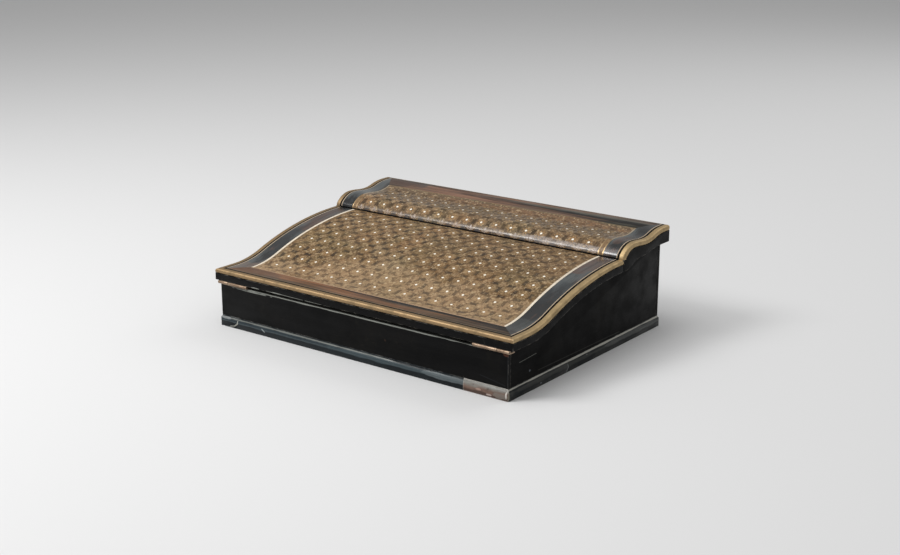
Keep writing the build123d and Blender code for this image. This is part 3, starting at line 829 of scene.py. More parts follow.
@dataclass(frozen=True)
class AgedMetal(Finish):
    """Brass or copper with a brown patina in places and rubbed edges."""

    metal: Colour = (0.37, 0.255, 0.14)
    patina: Colour = (0.20, 0.145, 0.08)
    patina_level: float = 0.54
    edge: Colour = (0.56, 0.44, 0.29)
    gloss: Place = (0.36, 0.5)

    def dress(self, sheet: ShaderSheet, place: Socket) -> bpy.types.Node:
        """Lays the patina over the metal and rubs it off along the edges."""
        spots = MOTTLE.output(sheet, place, Scale=85.0, Level=self.patina_level, Softness=0.14)
        specks = MOTTLE.output(sheet, place, Scale=600.0, Level=0.64, Softness=0.06)
        aged = sheet.math("MULTIPLY_ADD", spots, 0.6, sheet.times(specks, 0.35))
        edges = WEAR.output(sheet, place, Reach=0.5 * MM, Breakup=200.0, Amount=0.8)
        colour = sheet.lay(edges, 0.7, sheet.blend(aged, self.metal, self.patina), self.edge)
        dullness = sheet.span(aged, 0.0, 1.0, *self.gloss)
        metallic = sheet.span(aged, 0.0, 1.0, 1.0, 0.8)
        return sheet.surface(colour, dullness, sheet.noise(place, 260.0), 0.03, Metallic=metallic)


@dataclass(frozen=True)
class Leather(Finish):
    """Thin lining leather with a fine pebbled skin."""

    colour: Colour = (0.085, 0.022, 0.018)
    rubbed: Colour = (0.16, 0.055, 0.04)
    creases: Colour = (0.03, 0.01, 0.008)

    def dress(self, sheet: ShaderSheet, place: Socket) -> bpy.types.Node:
        """Pebbles the skin and rubs it in places."""
        pebbles = sheet.add("ShaderNodeTexVoronoi", {"Vector": place, "Scale": 900.0}).outputs["Distance"]
        rubs = MOTTLE.output(sheet, place, Scale=24.0, Level=0.56, Softness=0.16)
        colour = sheet.lay(rubs, 0.7, self.colour, self.rubbed)
        colour = sheet.blend(sheet.span(pebbles, 0.35, 0.7, 0.0, 0.5), colour, self.creases)
        dullness = sheet.dullness(place, 90.0, (0.5, 0.7), 3.0)
        return sheet.surface(colour, dullness, sheet.less(1.0, pebbles), 0.08, Specular_IOR_Level=0.4)


@dataclass(frozen=True)
class AgedPaper(Finish):
    """Lining paper, yellowed and foxed."""

    paper: Colour = (0.52, 0.44, 0.31)
    foxed: Colour = (0.24, 0.145, 0.07)

    def dress(self, sheet: ShaderSheet, place: Socket) -> bpy.types.Node:
        """Lays brown spots and a soft fibre over the paper."""
        spots = MOTTLE.output(sheet, place, Scale=110.0, Level=0.68, Softness=0.05)
        tide = MOTTLE.output(sheet, place, Scale=9.0, Level=0.56, Softness=0.12)
        colour = sheet.lay(spots, 0.6, sheet.lay(tide, 0.35, self.paper, self.foxed), self.foxed)
        dullness = sheet.dullness(place, 120.0, (0.8, 0.95), 3.0)
        return sheet.surface(colour, dullness, sheet.noise(place, 1400.0), 0.02)


@dataclass(frozen=True)
class CutGlass(Finish):
    """Thick clear glass with a faint green cast and fine wear."""

    tint: Colour = (0.90, 0.97, 0.94)
    clouded: Colour = (0.82, 0.9, 0.86)

    def dress(self, sheet: ShaderSheet, place: Socket) -> bpy.types.Node:
        """Clear glass, slightly clouded where it is rubbed."""
        cloud = MOTTLE.output(sheet, place, Scale=120.0, Level=0.62, Softness=0.1)
        return sheet.add(
            "ShaderNodeBsdfPrincipled",
            {
                "Base Color": sheet.blend(cloud, self.tint, self.clouded),
                "Roughness": sheet.span(cloud, 0.0, 1.0, 0.015, 0.12),
                "IOR": 1.5,
                "Transmission Weight": 1.0,
            },
        )


# Side profiles of the lids


@dataclass(frozen=True)
class Bend:
    """One stretch of a side profile: a straight length, or a radius with a turn in degrees."""

    size: float
    turn: float = 0.0

    @property
    def length(self) -> float:
        """The stretch's own length."""
        return self.size if self.turn == 0 else self.size * math.radians(abs(self.turn))


def ogee(run: float, rise: float, first_radius: float | None = None) -> list[Bend]:
    """An S-shaped step as two tangent arcs.

    Args:
        run: The step's length along the lid.
        rise: The step's height, negative where it falls.
        first_radius: The first arc's radius, or None for two equal arcs.

    Returns:
        The two arcs.
    """
    turn = 2 * math.degrees(math.atan(abs(rise) / run))
    both_radii = run / math.sin(math.radians(turn))
    first = first_radius or both_radii / 2
    sign = math.copysign(1.0, rise)
    return [Bend(first, sign * turn), Bend(both_radii - first, -sign * turn)]


def nose(run: float, rise: float, split: float) -> list[Bend]:
    """A rounded nose that starts upright and ends level.

    Args:
        run: The nose's length along the lid.
        rise: The nose's height.
        split: The turn of its first, tighter arc.

    Returns:
        The two arcs.
    """
    cosine = math.cos(math.radians(split))
    sine = math.sin(math.radians(split))
    divisor = (1 - cosine) * (1 - sine) - cosine * sine
    tight = (run * (1 - sine) - rise * cosine) / divisor
    wide = (rise * (1 - cosine) - run * sine) / divisor
    return [Bend(tight, -split), Bend(wide, split - 90)]


@dataclass(frozen=True)
class SideProfile:
    """The upper face of a lid seen from the side, as bends that follow one another."""

    start: Place
    heading: float
    bends: tuple[Bend, ...]

    @property
    def length(self) -> float:
        """The profile's length along its bends."""
        return sum(bend.length for bend in self.bends)

    def at(self, along: float, height: float = 0.0) -> Place:
        """Finds a point by its length along the profile and its height above it.

        Args:
            along: The length from the profile's start.
            height: The distance from the face, outwards.

        Returns:
            The point's places along Y and Z.
        """
        y, z = self.start
        angle = math.radians(self.heading)
        left = min(max(along, 0.0), self.length)
        for bend in self.bends:
            run = min(left, bend.length)
            if bend.turn == 0:
                y += run * math.cos(angle)
                z += run * math.sin(angle)
            else:
                turn = math.copysign(run / bend.size, bend.turn)
                chord = 2 * bend.size * math.sin(abs(turn) / 2)
                y += chord * math.cos(angle + turn / 2)
                z += chord * math.sin(angle + turn / 2)
                angle += turn
            left -= run
            if left <= 0:
                break
        return y - height * math.sin(angle), z + height * math.cos(angle)

    def stops(self, first: float, last: float, step: float) -> list[float]:
        """Divides a stretch evenly.

        Args:
            first: The stretch's start.
            last: The stretch's end.
            step: The longest division.

        Returns:
            The places of the divisions, with both ends.
        """
        count = max(1, math.ceil((last - first) / step))
        return [first + (last - first) * number / count for number in range(count + 1)]


# Meshes


def in_metres(x: float, y: float, z: float) -> Vector:
    """A point given in millimetres."""
    return Vector((x, y, z)) * MM


def linked(name: str, data: bpy.types.ID) -> bpy.types.Object:
    """Makes an object of the data and links it to the scene.

    Args:
        name: The object's name.
        data: What it shows.

    Returns:
        The object.
    """
    holder = bpy.data.objects.new(name, data)
    bpy.context.scene.collection.objects.link(holder)
    return holder


def mesh_data(name: str, mesh: Mesh) -> bpy.types.Mesh:
    """Turns a working mesh into mesh data, and frees it.

    Args:
        name: The data's name.
        mesh: The working mesh.

    Returns:
        The mesh data.
    """
    data = bpy.data.meshes.new(name)
    mesh.to_mesh(data)
    mesh.free()
    return data


def plain_mesh(holder: bpy.types.Object) -> bpy.types.Mesh:
    """Turns an object with modifiers into a plain mesh and removes the object.

    Args:
        holder: The object.

    Returns:
        The plain mesh.
    """
    graph = bpy.context.evaluated_depsgraph_get()
    data = bpy.data.meshes.new_from_object(holder.evaluated_get(graph), depsgraph=graph)
    old = holder.data
    bpy.data.objects.remove(holder)
    if old.users == 0:
        bpy.data.meshes.remove(old)
    return data


def skin(mesh: Mesh, before: Sequence[bmesh.types.BMVert], after: Sequence[bmesh.types.BMVert]) -> None:
    """Joins two closed loops of points with a band of faces.

    Args:
        mesh: The mesh that the points are in.
        before: The first loop.
        after: The second loop.
    """
    for one in range(len(before)):
        two = (one + 1) % len(before)
        mesh.faces.new((before[one], before[two], after[two], after[one]))


def sweep(rows: Sequence[Sequence[Vector]]) -> Mesh:
    """Joins closed sections into a solid with flat ends, welds it and turns its faces outwards.

    Args:
        rows: The sections, each with the same number of points.

    Returns:
        The solid's mesh.
    """
    mesh = bmesh.new()
    loops = [[mesh.verts.new(place) for place in row] for row in rows]
    for before, after in zip(loops, loops[1:]):
        skin(mesh, before, after)
    mesh.faces.new(loops[0][::-1])
    mesh.faces.new(loops[-1])
    bmesh.ops.remove_doubles(mesh, verts=mesh.verts, dist=WELD_DISTANCE)
    bmesh.ops.dissolve_degenerate(mesh, edges=mesh.edges, dist=WELD_DISTANCE)
    bmesh.ops.recalc_face_normals(mesh, faces=mesh.faces)
    return mesh


def rectangle(half_width: float, first: float, last: float) -> list[Place]:
    """The outline of a strip across a lid, between two lengths along its profile."""
    return [(-half_width, first), (half_width, first), (half_width, last), (-half_width, last)]


def lay_flat(profile: SideProfile, outline: Sequence[Place], top: float, depth: float) -> Mesh:
    """Builds a closed strip that follows a profile inside a convex outline.

    Args:
        profile: The profile that the strip lies on.
        outline: The corners, each as a place along X and a length along the profile.
        top: The strip's upper face, above the profile.
        depth: The strip's lower face, below the profile.

    Returns:
        The strip's mesh.
    """
    corners = sorted({place[1] for place in outline})
    stops = [corners[0]]
    for first, last in zip(corners, corners[1:]):
        stops += profile.stops(first, last, STRIP_STEP)[1:]
    rows = []
    for along in stops:
        crossings = []
        for (x0, s0), (x1, s1) in zip(outline, [*outline[1:], outline[0]]):
            if min(s0, s1) - TINY <= along <= max(s0, s1) + TINY:
                shares = [0.0, 1.0] if abs(s1 - s0) < TINY else [(along - s0) / (s1 - s0)]
                crossings += [x0 + (x1 - x0) * share for share in shares]
        left, right = min(crossings), max(crossings)
        upper, lower = profile.at(along, top), profile.at(along, -depth)
        corners_here = ((left, upper), (right, upper), (right, lower), (left, lower))
        rows.append([in_metres(x, *place) for x, place in corners_here])
    return sweep(rows)


def joined(meshes: Iterable[Mesh]) -> Mesh:
    """Puts several meshes into one and frees them.

    Args:
        meshes: The meshes.

    Returns:
        The one mesh.
    """
    whole = bmesh.new()
    for mesh in meshes:
        data = mesh_data("part", mesh)
        whole.from_mesh(data)
        bpy.data.meshes.remove(data)
    return whole


def ship(
    name: str, mesh: Mesh | bpy.types.Mesh, body: Body, finish: Finish, stands_for: Sequence[str] = ()
) -> None:
    """Makes a finished piece of a mesh, and ties it to its body.

    Args:
        name: The piece's name.
        mesh: The mesh, in metres.
        body: The body that the piece rides on.
        finish: The piece's finish.
        stands_for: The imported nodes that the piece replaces.
    """
    data = mesh_data(name, mesh) if isinstance(mesh, Mesh) else mesh
    data.name = name
    if not data.materials:
        data.materials.append(finish.material())
    data.shade_smooth()
    data.set_sharp_from_angle(angle=SMOOTH_ANGLE)
    piece = linked(name, data)
    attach(piece, body.value)
    if stands_for:
        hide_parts(*stands_for)
    LOG.info("%s rides on %s with %d faces", name, body.value, len(data.polygons))


def finished_copy(
    node: str,
    body: Body,
    finish: Finish,
    rounding: float = 0.0,
    dress: Callable[[bpy.types.Mesh], None] | None = None,
) -> None:
    """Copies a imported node, welds it and rounds its arrises, and shows the copy in its place.

    Args:
        node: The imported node.
        body: The body that the node rides on.
        finish: The copy's finish.
        rounding: The width of the rounding, or 0 for sharp arrises.
        dress: What else is done to the finished mesh, such as a second material.
    """
    mesh = bmesh.new()
    mesh.from_mesh(frame["nodes"][node].data)
    bmesh.ops.remove_doubles(mesh, verts=mesh.verts, dist=WELD_DISTANCE)
    bmesh.ops.dissolve_limit(mesh, angle_limit=FLAT_ANGLE, verts=mesh.verts, edges=mesh.edges)
    weights = mesh.edges.layers.float.new("bevel_weight_edge")
    for edge in mesh.edges:
        edge[weights] = float(edge.is_manifold and edge.calc_face_angle_signed() > SHARP_ANGLE)
    data = mesh_data(f"{node}_finished", mesh)
    if rounding:
        holder = linked(f"{node}_rounding", data)
        bevel = holder.modifiers.new("Rounded arrises", "BEVEL")
        bevel.width = rounding * MM
        bevel.segments = ARRIS_SEGMENTS
        bevel.limit_method = "WEIGHT"
        data = plain_mesh(holder)
    if dress is not None:
        data.materials.append(finish.material())
        dress(data)
    ship(f"{node}_finished", data, body, finish, [node])


# Inlaid figures, drawn flat and repeated over a lid


class Figure:
    """Collects the flat pieces of one inlaid figure around its middle, as closed slips of veneer."""

    def __init__(self, top: float, sunk: float) -> None:
        """Sets how the figure lies in the lid.

        Args:
            top: The height of its upper face above the lid.
            sunk: The depth of its lower face below the lid.
        """
        self.mesh = bmesh.new()
        self.top = top
        self.sunk = sunk

    def points(self, places: Iterable[Place], height: float) -> list[bmesh.types.BMVert]:
        """Adds points, given in millimetres, at one height."""
        return [self.mesh.verts.new(in_metres(x, s, height)) for x, s in places]

    def patch(self, rows: Sequence[Sequence[Place]]) -> Self:
        """Adds a slip drawn as a grid of rows.

        Args:
            rows: The rows of places, each place across and along the lid.

        Returns:
            The figure.
        """
        upper = [self.points(row, self.top) for row in rows]
        for one, two in zip(upper, upper[1:]):
            for number in range(len(one) - 1):
                self.mesh.faces.new((one[number], one[number + 1], two[number + 1], two[number]))
        right = [row[-1] for row in upper[1:-1]]
        left = [row[0] for row in upper[-2:0:-1]]
        return self.wall([*upper[0], *right, *upper[-1][::-1], *left])

    def petals(self, count: int, offset: float, stations: Sequence[Place]) -> Self:
        """Adds petals round the middle.

        Args:
            count: The number of petals.
            offset: The turn of the first one, as a share of the step between two.
            stations: The distances from the middle, each with half the petal's width there.

        Returns:
            The figure.
        """
        for number in range(count):
            turn = math.tau * (number + offset) / count
            way, across = (math.cos(turn), math.sin(turn)), (-math.sin(turn), math.cos(turn))
            rows = []
            for radius, half in stations:
                x, s = radius * way[0], radius * way[1]
                shift = (half * across[0], half * across[1])
                rows.append([(x - shift[0], s - shift[1]), (x + shift[0], s + shift[1])])
            self.patch(rows)
        return self

    def disc(self, radius: float, rings: int, around: int) -> Self:
        """Adds a round slip.

        Args:
            radius: The slip's radius.
            rings: The number of rings of faces.
            around: The number of faces around.

        Returns:
            The figure.
        """
        inner = self.points([(0.0, 0.0)], self.top) * around
        for ring in range(1, rings + 1):
            circle = self.points(round_places(radius * ring / rings, around), self.top)
            for one in range(around):
                two = (one + 1) % around
                corners = (inner[one], circle[one], circle[two])
                self.mesh.faces.new(corners if ring == 1 else (*corners, inner[two]))
            inner = circle
        return self.wall(inner)

    def ring(self, inner: float, outer: float, around: int) -> Self:
        """Adds a ring-shaped slip.

        Args:
            inner: The inner radius.
            outer: The outer radius.
            around: The number of faces around.

        Returns:
            The figure.
        """
        section = ((inner, -self.sunk), (inner, self.top), (outer, self.top), (outer, -self.sunk))
        loops = [self.points(round_places(radius, around), height) for radius, height in section]
        for one, two in zip(loops, [*loops[1:], loops[0]]):
            for number in range(around):
                after = (number + 1) % around
                self.mesh.faces.new((one[number], two[number], two[after], one[after]))
        return self

    def wall(self, rim: Sequence[bmesh.types.BMVert]) -> Self:
        """Closes a slip with walls below its rim and a bottom.

        Args:
            rim: The rim's points in order.

        Returns:
            The figure.
        """
        foot = [self.mesh.verts.new((point.co.x, point.co.y, -self.sunk * MM)) for point in rim]
        skin(self.mesh, foot, rim)
        self.mesh.faces.new(foot[::-1])
        return self

    def holder(self, name: str) -> bpy.types.Object:
        """Turns the figure into an object, in no collection, that a tree can repeat."""
        bmesh.ops.recalc_face_normals(self.mesh, faces=self.mesh.faces)
        return bpy.data.objects.new(name, mesh_data(name, self.mesh))


def round_places(radius: float, around: int) -> list[Place]:
    """Even places on a circle."""
    turns = [math.tau * number / around for number in range(around)]
    return [(radius * math.cos(turn), radius * math.sin(turn)) for turn in turns]


class TreeSheet(Sheet):
    """A sheet for one geometry tree with named inputs."""

    def __init__(self, name: str, inputs: Mapping[str, str]) -> None:
        """Makes the tree with its inputs and one geometry output.

        Args:
            name: The tree's name.
            inputs: The kind of each input by name.
        """
        super().__init__(bpy.data.node_groups.new(name, "GeometryNodeTree"))
        for title, kind in inputs.items():
            self.tree.interface.new_socket(title, in_out="INPUT", socket_type=f"NodeSocket{kind}")
        self.tree.interface.new_socket("Geometry", in_out="OUTPUT", socket_type="NodeSocketGeometry")
        self.given = self.tree.nodes.new("NodeGroupInput").outputs

    def random(self, low: Number, high: Number, seed: Socket) -> Socket:
        """A random number between two values, for each point."""
        node = self.add("FunctionNodeRandomValue", {2: low, 3: high, "Seed": seed}, data_type="FLOAT")
        return node.outputs[1]

    def from_parts(self, **parts: Socket) -> Socket:
        """A vector made of its parts on X, Y and Z."""
        return self.add("ShaderNodeCombineXYZ", parts).outputs[0]

    def close(self, geometry: Socket, finish: Socket) -> bpy.types.NodeTree:
        """Ends the tree with its material.

        Args:
            geometry: The geometry to put out.
            finish: The material's socket.

        Returns:
            The finished tree.
        """
        dressed = self.add("GeometryNodeSetMaterial", {"Geometry": geometry, "Material": finish})
        self.add("NodeGroupOutput", {0: dressed.outputs[0]})
        return self.tree


def lattice_tree() -> bpy.types.NodeTree:
    """Builds the tree that repeats one figure on a square lattice and bends it over a lid.

    The piece that wears the modifier is the lid's side profile, as a chain of edges. Flat places are
    given across the lid, along its profile and above it.

    Returns:
        The tree, which is built on the first call alone.
    """
    known = bpy.data.node_groups.get("Inlay Lattice")
    if known is not None:
        return known
    numbers = ("Column Pitch", "Row Pitch", "First Row", "Lowest Row", "Highest Row", "Jitter", "Turn")
    kinds = {"Profile": "Geometry", "Figure": "Object", "Columns": "Int", "Rows": "Int"}
    kinds |= {**dict.fromkeys(numbers, "Float"), "Seed": "Int", "Finish": "Material"}
    sheet = TreeSheet("Inlay Lattice", kinds)
    given = sheet.given
    wide = sheet.times(sheet.less(given["Columns"], 1.0), given["Column Pitch"])
    deep = sheet.times(sheet.less(given["Rows"], 1.0), given["Row Pitch"])
    size = {"Size X": wide, "Size Y": deep, "Vertices X": given["Columns"], "Vertices Y": given["Rows"]}
    grid = sheet.add("GeometryNodeMeshGrid", size).outputs["Mesh"]
    middle = sheet.from_parts(Y=sheet.plus(given["First Row"], sheet.times(deep, 0.5)))
    least = sheet.times(given["Jitter"], -1.0)
    seeds = [sheet.plus(given["Seed"], number) for number in (1.0, 2.0)]
    across, along = (sheet.random(least, given["Jitter"], seed) for seed in seeds)
    offset = sheet.vector("ADD", middle, sheet.from_parts(X=across, Y=along))
    places = sheet.add("GeometryNodeSetPosition", {"Geometry": grid, "Offset": offset}).outputs[0]
    figure = sheet.add("GeometryNodeObjectInfo", {"Object": given["Figure"]}).outputs["Geometry"]
    turn = sheet.from_parts(Z=sheet.random(sheet.times(given["Turn"], -1.0), given["Turn"], given["Seed"]))
    values = {"Points": places, "Instance": figure, "Rotation": turn}
    copies = sheet.add("GeometryNodeInstanceOnPoints", values).outputs[0]
    tone = sheet.random(0.0, 1.0, sheet.plus(given["Seed"], 7.0))
    values = {"Geometry": copies, "Name": "tone", "Value": tone}
    toned = sheet.add("GeometryNodeStoreNamedAttribute", values, data_type="FLOAT", domain="INSTANCE")
    real = sheet.add("GeometryNodeRealizeInstances", {"Geometry": toned.outputs[0]})
    return sheet.close(bend_over(sheet, real.outputs[0]), given["Finish"])


def bend_over(sheet: TreeSheet, geometry: Socket) -> Socket:
    """Adds the nodes that bend flat geometry over the lid's profile.

    Args:
        sheet: The tree's sheet, with Profile, Lowest Row and Highest Row among its inputs.
        geometry: The flat geometry.

    Returns:
        The bent geometry.
    """
    line = sheet.add("GeometryNodeMeshToCurve", {"Mesh": sheet.given["Profile"]}).outputs[0]
    flat = sheet.add("GeometryNodeInputPosition").outputs[0]
    along = sheet.math("MAXIMUM", sheet.part(flat, "Y"), sheet.given["Lowest Row"])
    along = sheet.math("MINIMUM", along, sheet.given["Highest Row"])
    sample = sheet.add("GeometryNodeSampleCurve", {"Curves": line, "Length": along}, mode="LENGTH").outputs
    rise, run = sheet.part(sample["Tangent"], "Z"), sheet.part(sample["Tangent"], "Y")
    outward = sheet.from_parts(Y=sheet.times(rise, -1.0), Z=run)
    raised = sheet.vector("ADD", sample["Position"], sheet.lengthened(outward, sheet.part(flat, "Z")))
    final = sheet.vector("ADD", raised, sheet.from_parts(X=sheet.part(flat, "X")))
    return sheet.add("GeometryNodeSetPosition", {"Geometry": geometry, "Position": final}).outputs[0]


def grown(name: str, chain: bpy.types.Mesh, values: Mapping[str, object]) -> bpy.types.Mesh:
    """Runs the lattice tree on a side profile and returns the plain result.

    Args:
        name: The holder's name.
        chain: The profile, as a chain of edges.
        values: The tree's inputs by name.

    Returns:
        The finished mesh.
    """
    holder = linked(name, chain)
    modifier = holder.modifiers.new("Growth", "NODES")
    modifier.node_group = lattice_tree()
    for item in modifier.node_group.interface.items_tree:
        if item.in_out == "INPUT" and item.name in values:
            modifier[item.identifier] = values[item.name]
    return plain_mesh(holder)


# The finishes of this box

WORN_GREY = (0.30, 0.31, 0.28)
# A mid grey painted as light on the front wall's top.
PAINTED_LIGHT_GREY = (0.15, 0.155, 0.14)
FRONT_WALL_CHIPS_AND_LIGHT = (
    # The first spot is a painted lit strip on the wall's top, seen in the shaded gap under the lid; the
    # second is the worn front arris of the top, painted paler also as its highlight.
    ChipOrPaintedLight((0.0, -142.6, 48.1), (240.0, 4.6, 0.6), PAINTED_LIGHT_GREY, 0.9, 60.0),
    ChipOrPaintedLight((0.0, -146.7, 48.2), (230.0, 1.7, 1.2), WORN_GREY, 0.85, 45.0),
    ChipOrPaintedLight((-148.0, -146.4, 46.3), (30.0, 1.0, 0.8), WORN_GREY, 0.7, 150.0),
    ChipOrPaintedLight((41.0, -146.6, 30.0), (1.6, 1.0, 1.6), (0.035, 0.02, 0.014), 0.7),
    ChipOrPaintedLight((190.5, -146.6, 46.4), (3.0, 1.0, 1.6), (0.10, 0.042, 0.026), 0.8),
    Nick((192.9, -146.6, 14.0), (192.9, -146.6, 45.0), (0.05, 0.055, 0.06), 0.35, 0.5),
    Nick((160.0, -146.7, 20.0), (190.0, -146.7, 15.0), (0.03, 0.032, 0.036), 0.4, 0.6),
)
SIDE_WALL_CHIPS = (
    Nick((193.5, -128.0, 34.2), (193.5, -99.0, 35.6), WORN_GREY, 0.27, 0.6),
    Nick((193.5, -95.0, 17.0), (193.5, 60.0, 15.0), (0.12, 0.12, 0.11), 0.35, 0.45),
    ChipOrPaintedLight((193.5, -110.0, 21.0), (0.8, 1.2, 1.2), (0.14, 0.16, 0.18), 0.7),
    ChipOrPaintedLight((193.5, 141.8, 50.0), (1.3, 1.3, 52.0), (0.24, 0.24, 0.22), 0.8, 90.0),
    ChipOrPaintedLight((-193.5, 141.8, 50.0), (1.3, 1.3, 52.0), (0.24, 0.24, 0.22), 0.6, 90.0),
)
OUTER_X = BlackWood("Ebonised wood, grain across", Slot.EBONISED)
# Its top carries a painted lit strip and a worn arris painted as a highlight.
FRONT_WOOD = BlackWood("Ebonised front, worn and painted lit along its top", Slot.EBONISED, chips_and_painted_light=FRONT_WALL_CHIPS_AND_LIGHT)
OUTER_Y = BlackWood(
    "Ebonised wood, grain front to back", Slot.EBONISED, grain=GrainWay.ALONG_Y, scratching=0.44,
    black=(0.0028, 0.0028, 0.0028), rubbed=(0.009, 0.008, 0.0065), shine=0.05, chips_and_painted_light=SIDE_WALL_CHIPS,
)
LID_WOOD = BlackWood(
    "Ebonised lid edges", Slot.EBONISED,
    chips_and_painted_light=(
        ChipOrPaintedLight((-140.0, -148.0, 52.4), (7.0, 1.5, 0.8), WORN_GREY, 0.7),
        ChipOrPaintedLight((-112.0, -148.0, 52.4), (12.0, 1.5, 0.7), WORN_GREY, 0.6),
        Nick((-112.0, -148.4, 52.6), (-70.0, -148.3, 52.1), WORN_GREY, 0.4, 0.6),
        Nick((-66.0, -148.3, 52.1), (-44.0, -148.2, 52.0), WORN_GREY, 0.5, 0.7),
        Nick((-40.0, -148.2, 52.0), (-14.0, -147.8, 51.9), WORN_GREY, 0.4, 0.5),
    ),
)
PALE_EDGE = (0.36, 0.36, 0.32)
PLINTH_X = BlackWood(
    "Ebonised plinth, grain across", Slot.EBONISED, black=(0.005, 0.0075, 0.009),
    rubbed=(0.020, 0.027, 0.030), worn=(0.28, 0.30, 0.30), gloss=(0.22, 0.4), shine=0.18,
    chips_and_painted_light=(
        # The first three spots are lighter bands of painted sheen along the rounded top, brighter to the
        # right; the long pale line along the top and the spots at the left end are painted highlights.
        ChipOrPaintedLight((0.0, -148.2, 7.8), (400.0, 3.0, 2.2), (0.027, 0.039, 0.046), 0.85, 60.0),
        ChipOrPaintedLight((50.0, -148.2, 7.8), (100.0, 3.0, 2.6), (0.050, 0.070, 0.078), 0.7, 40.0),
        ChipOrPaintedLight((120.0, -148.2, 7.8), (50.0, 3.0, 3.2), (0.115, 0.135, 0.142), 0.85, 40.0),
        ChipOrPaintedLight((-90.0, -147.4, 10.3), (170.0, 1.4, 0.7), (0.24, 0.25, 0.23), 0.6, 60.0),
        ChipOrPaintedLight((-187.0, -147.8, 10.0), (10.0, 2.4, 1.3), (0.24, 0.25, 0.255), 0.85, 110.0),
        ChipOrPaintedLight((-193.8, -147.0, 7.0), (1.4, 1.6, 4.0), (0.16, 0.17, 0.175), 0.8, 110.0),
        ChipOrPaintedLight((-40.0, -149.0, 7.0), (300.0, 0.8, 0.7), (0.07, 0.085, 0.09), 0.5, 200.0),
        Nick((-168.6, -148.4, 10.2), (-168.6, -149.1, 6.0), PALE_EDGE, 0.9, 0.9),
        Nick((-168.6, -149.1, 6.0), (-173.0, -149.0, 2.8), PALE_EDGE, 0.9, 0.9),
        Nick((-173.0, -149.0, 2.8), (-180.0, -148.6, 1.2), PALE_EDGE, 0.8, 0.8),
        Nick((-131.6, -149.1, 7.7), (-127.2, -149.0, 5.1), (0.30, 0.33, 0.33), 0.8, 0.8),
    ),
)
PLINTH_Y = BlackWood(
    "Ebonised plinth, grain front to back", Slot.EBONISED, grain=GrainWay.ALONG_Y,
    black=(0.005, 0.0072, 0.0082), rubbed=(0.045, 0.044, 0.040), worn=(0.28, 0.29, 0.27),
    gloss=(0.3, 0.5), shine=0.18, rubbing=0.48,
    chips_and_painted_light=(
        # The first two spots are painted highlights along the tops of the side strips; the next two are
        # lighter bands of painted sheen on their rounded faces.
        ChipOrPaintedLight((194.3, 0.0, 11.0), (1.8, 260.0, 0.9), (0.42, 0.41, 0.36), 0.9, 40.0),
        ChipOrPaintedLight((-194.3, 0.0, 11.0), (1.8, 260.0, 0.9), (0.42, 0.41, 0.36), 0.7, 40.0),
        ChipOrPaintedLight((195.8, -60.0, 7.6), (1.6, 120.0, 2.2), (0.042, 0.043, 0.040), 0.7, 60.0),
        ChipOrPaintedLight((195.6, 92.0, 7.8), (1.8, 70.0, 2.8), (0.080, 0.083, 0.08), 0.75, 60.0),
        ChipOrPaintedLight((194.9, -147.4, 6.4), (1.4, 1.8, 5.0), (0.17, 0.15, 0.11), 0.75, 120.0),
        Nick((195.6, -43.6, 10.6), (196.0, -43.8, 5.0), (0.24, 0.25, 0.25), 0.7, 0.85),
        Nick((196.0, -43.8, 5.0), (195.6, -46.4, 1.4), (0.24, 0.25, 0.25), 0.7, 0.85),
        ChipOrPaintedLight((195.9, -6.9, 9.4), (1.4, 4.0, 1.6), (0.13, 0.13, 0.125), 0.7, 150.0),
        ChipOrPaintedLight((195.9, -93.0, 3.4), (1.0, 1.2, 1.0), (0.30, 0.33, 0.36), 0.8),
    ),
)
# Near-black bands; at the seam between the lids the strip is painted shade for the dark gap.
BLACK_BANDS_AND_SEAM_SHADE = BlackWood("Black bands and painted seam shade", Slot.EBONISED, wear=0.0, shine=0.05)
# The pale outer strip along the rear lid's back edge: worn, and painted light as its highlight.
BACK_EDGE_HIGHLIGHT = InlayWood(
    "Worn back edge with painted highlight", Slot.EBONISED, light=(0.32, 0.24, 0.19), dark=(0.13, 0.10, 0.08), patina_and_sheen=0.2
)
INNER_WOOD = PlainWood("Interior wood", Slot.INTERIOR)
REPAIR = WornRepair(
    "Bare repair wood", Slot.BARE,
    chips_and_painted_light=(
        ChipOrPaintedLight((173.0, -149.0, 2.4), (3.5, 1.2, 1.1), (0.50, 0.40, 0.36), 0.85, 260.0),
        ChipOrPaintedLight((160.0, -149.0, 5.6), (4.0, 1.2, 1.2), (0.42, 0.28, 0.225), 0.7, 200.0),
        ChipOrPaintedLight((186.0, -149.0, 4.0), (8.0, 1.4, 3.4), (0.20, 0.175, 0.15), 0.75, 150.0),
        # A painted highlight down the near corner.
        ChipOrPaintedLight((192.6, -148.6, 6.4), (0.8, 1.4, 3.8), (0.66, 0.62, 0.57), 0.9, 60.0),
        ChipOrPaintedLight((194.9, -147.4, 5.0), (1.4, 1.8, 5.0), (0.17, 0.15, 0.11), 0.75, 120.0),
    ),
)
NOSE_GLOSS = (0.2, 0.34)
NOSE_SHINE = 0.55
GROUND = InlayWood("Inlay ground", Slot.FIELD, light=(0.232, 0.135, 0.055), dark=(0.135, 0.076, 0.03))
GROUND_REAR = InlayWood(
    "Inlay ground of the rear lid", Slot.FIELD, light=(0.22, 0.131, 0.061), dark=(0.128, 0.074, 0.033),
    gloss=NOSE_GLOSS, shine=NOSE_SHINE,
)
DISC_WOOD = InlayWood("Medallion wood", Slot.FIELD, light=(0.262, 0.155, 0.067), dark=(0.184, 0.106, 0.043))
RAY_WOOD = InlayWood(
    "Petal bone", Slot.FIELD, light=(0.49, 0.345, 0.185), dark=(0.29, 0.185, 0.085), patina_and_sheen=0.4
)
GOLD_RAYS = InlayWood(
    "Golden petals", Slot.FIELD, light=(0.52, 0.29, 0.11), dark=(0.34, 0.18, 0.07), patina_and_sheen=0.3
)
